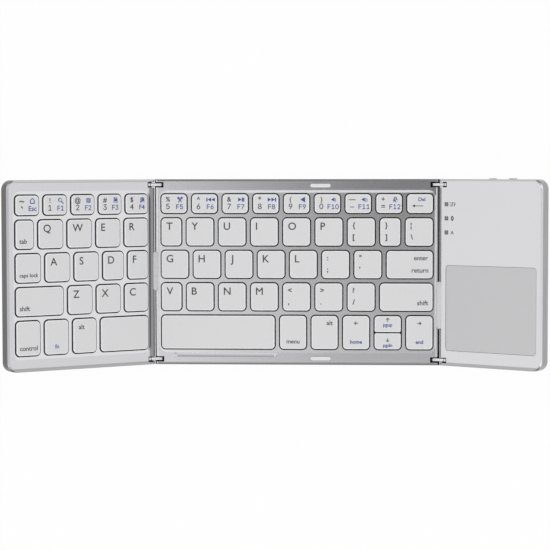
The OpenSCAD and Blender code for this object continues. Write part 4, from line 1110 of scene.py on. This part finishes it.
dome_rubber, dome_shader, dome_place = finish("dome_rubber", Metallic=0.0)
moulded = grains(dome_place, (2500, 2500, 2500), detail=2.0)
moulded.between(0.3, 0.7).colours((0.07, 0.07, 0.075, 1), (0.10, 0.10, 0.105, 1)).feeds(dome_shader.inputs["Base Color"])
(0.55 + 0.15 * moulded).feeds(dome_shader.inputs["Roughness"])
for node, place in (("centre_rubber_domes", on_middle), ("left_rubber_domes", on_left)):
    whole = bpy.data.objects.new("domes", frame["nodes"][node].data.copy())
    bpy.context.scene.collection.objects.link(whole)
    whole.data.materials.clear()
    whole.data.materials.append(dome_rubber)
    just(whole)
    bpy.ops.object.mode_set(mode="EDIT")
    bpy.ops.mesh.select_all(action="SELECT")
    bpy.ops.mesh.remove_doubles(threshold=2e-6)
    bpy.ops.mesh.separate(type="LOOSE")
    bpy.ops.object.mode_set(mode="OBJECT")
    under_key = {}
    for dome in list(bpy.context.selected_objects):
        corners = [place.inverted() @ corner.co for corner in dome.data.vertices]
        at = sum(corners, Vector()) / len(corners)
        for key, boxes in key_boxes.items():
            same_panel = (key in left_keys) == (place is on_left)
            if same_panel and any(abs(at.x - x) < w / 2 and abs(at.y - y) < d / 2 for x, y, w, d in boxes):
                under_key.setdefault(frame["nodes"][key]["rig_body"], []).append(dome)
    lowest, highest = min(corner.z for corner in corners), max(corner.z for corner in corners)
    up = (place.to_3x3() @ Vector((0, 0, 1))).normalized()
    for key, domes in under_key.items():
        rubber = joined(key + "_domes", domes)
        if key == next(iter(under_key)):
            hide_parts(node)
        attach(rubber, frame["nodes"][node]["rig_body"])
        key + "_press"
        tuple(place @ Vector((0, 0, lowest)))
        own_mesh(rubber)

laminate, laminate_shader, laminate_place = finish("green_laminate", Metallic=0.0)
weave = grains(laminate_place, (1800, 1800, 1800), detail=2.0)
copper = grains(laminate_place, (420, 1500, 420), detail=0.0)
resin = weave.between(0.3, 0.7).colours((0.012, 0.085, 0.035, 1), (0.02, 0.12, 0.05, 1))
copper.between(0.56, 0.60).colours(resin, (0.05, 0.22, 0.09, 1)).feeds(laminate_shader.inputs["Base Color"])
(0.25 + 0.15 * weave).feeds(laminate_shader.inputs["Roughness"])
for node in ("touchpad_board", "main_board"):
    dressed(node, laminate)

foil, foil_shader, foil_place = finish("cell_foil", Metallic=1.0)
crinkled = grains(foil_place, (350, 350, 350), detail=3.0)
crinkled.between(0.3, 0.7).colours((0.60, 0.60, 0.62, 1), (0.74, 0.74, 0.75, 1)).feeds(foil_shader.inputs["Base Color"])
(0.28 + 0.2 * crinkled).feeds(foil_shader.inputs["Roughness"])
raised(crinkled, 0.00005, 0.5).feeds(foil_shader.inputs["Normal"])
dressed("battery", foil)

black_moulding, moulding_shader, moulding_place = finish("switch_moulding", Metallic=0.0)
matted = grains(moulding_place, (5000, 5000, 5000), detail=2.0)
matted.between(0.3, 0.7).colours((0.035, 0.035, 0.04, 1), (0.055, 0.055, 0.06, 1)).feeds(moulding_shader.inputs["Base Color"])
(0.45 + 0.15 * matted).feeds(moulding_shader.inputs["Roughness"])
dressed("power_switch_body", black_moulding)
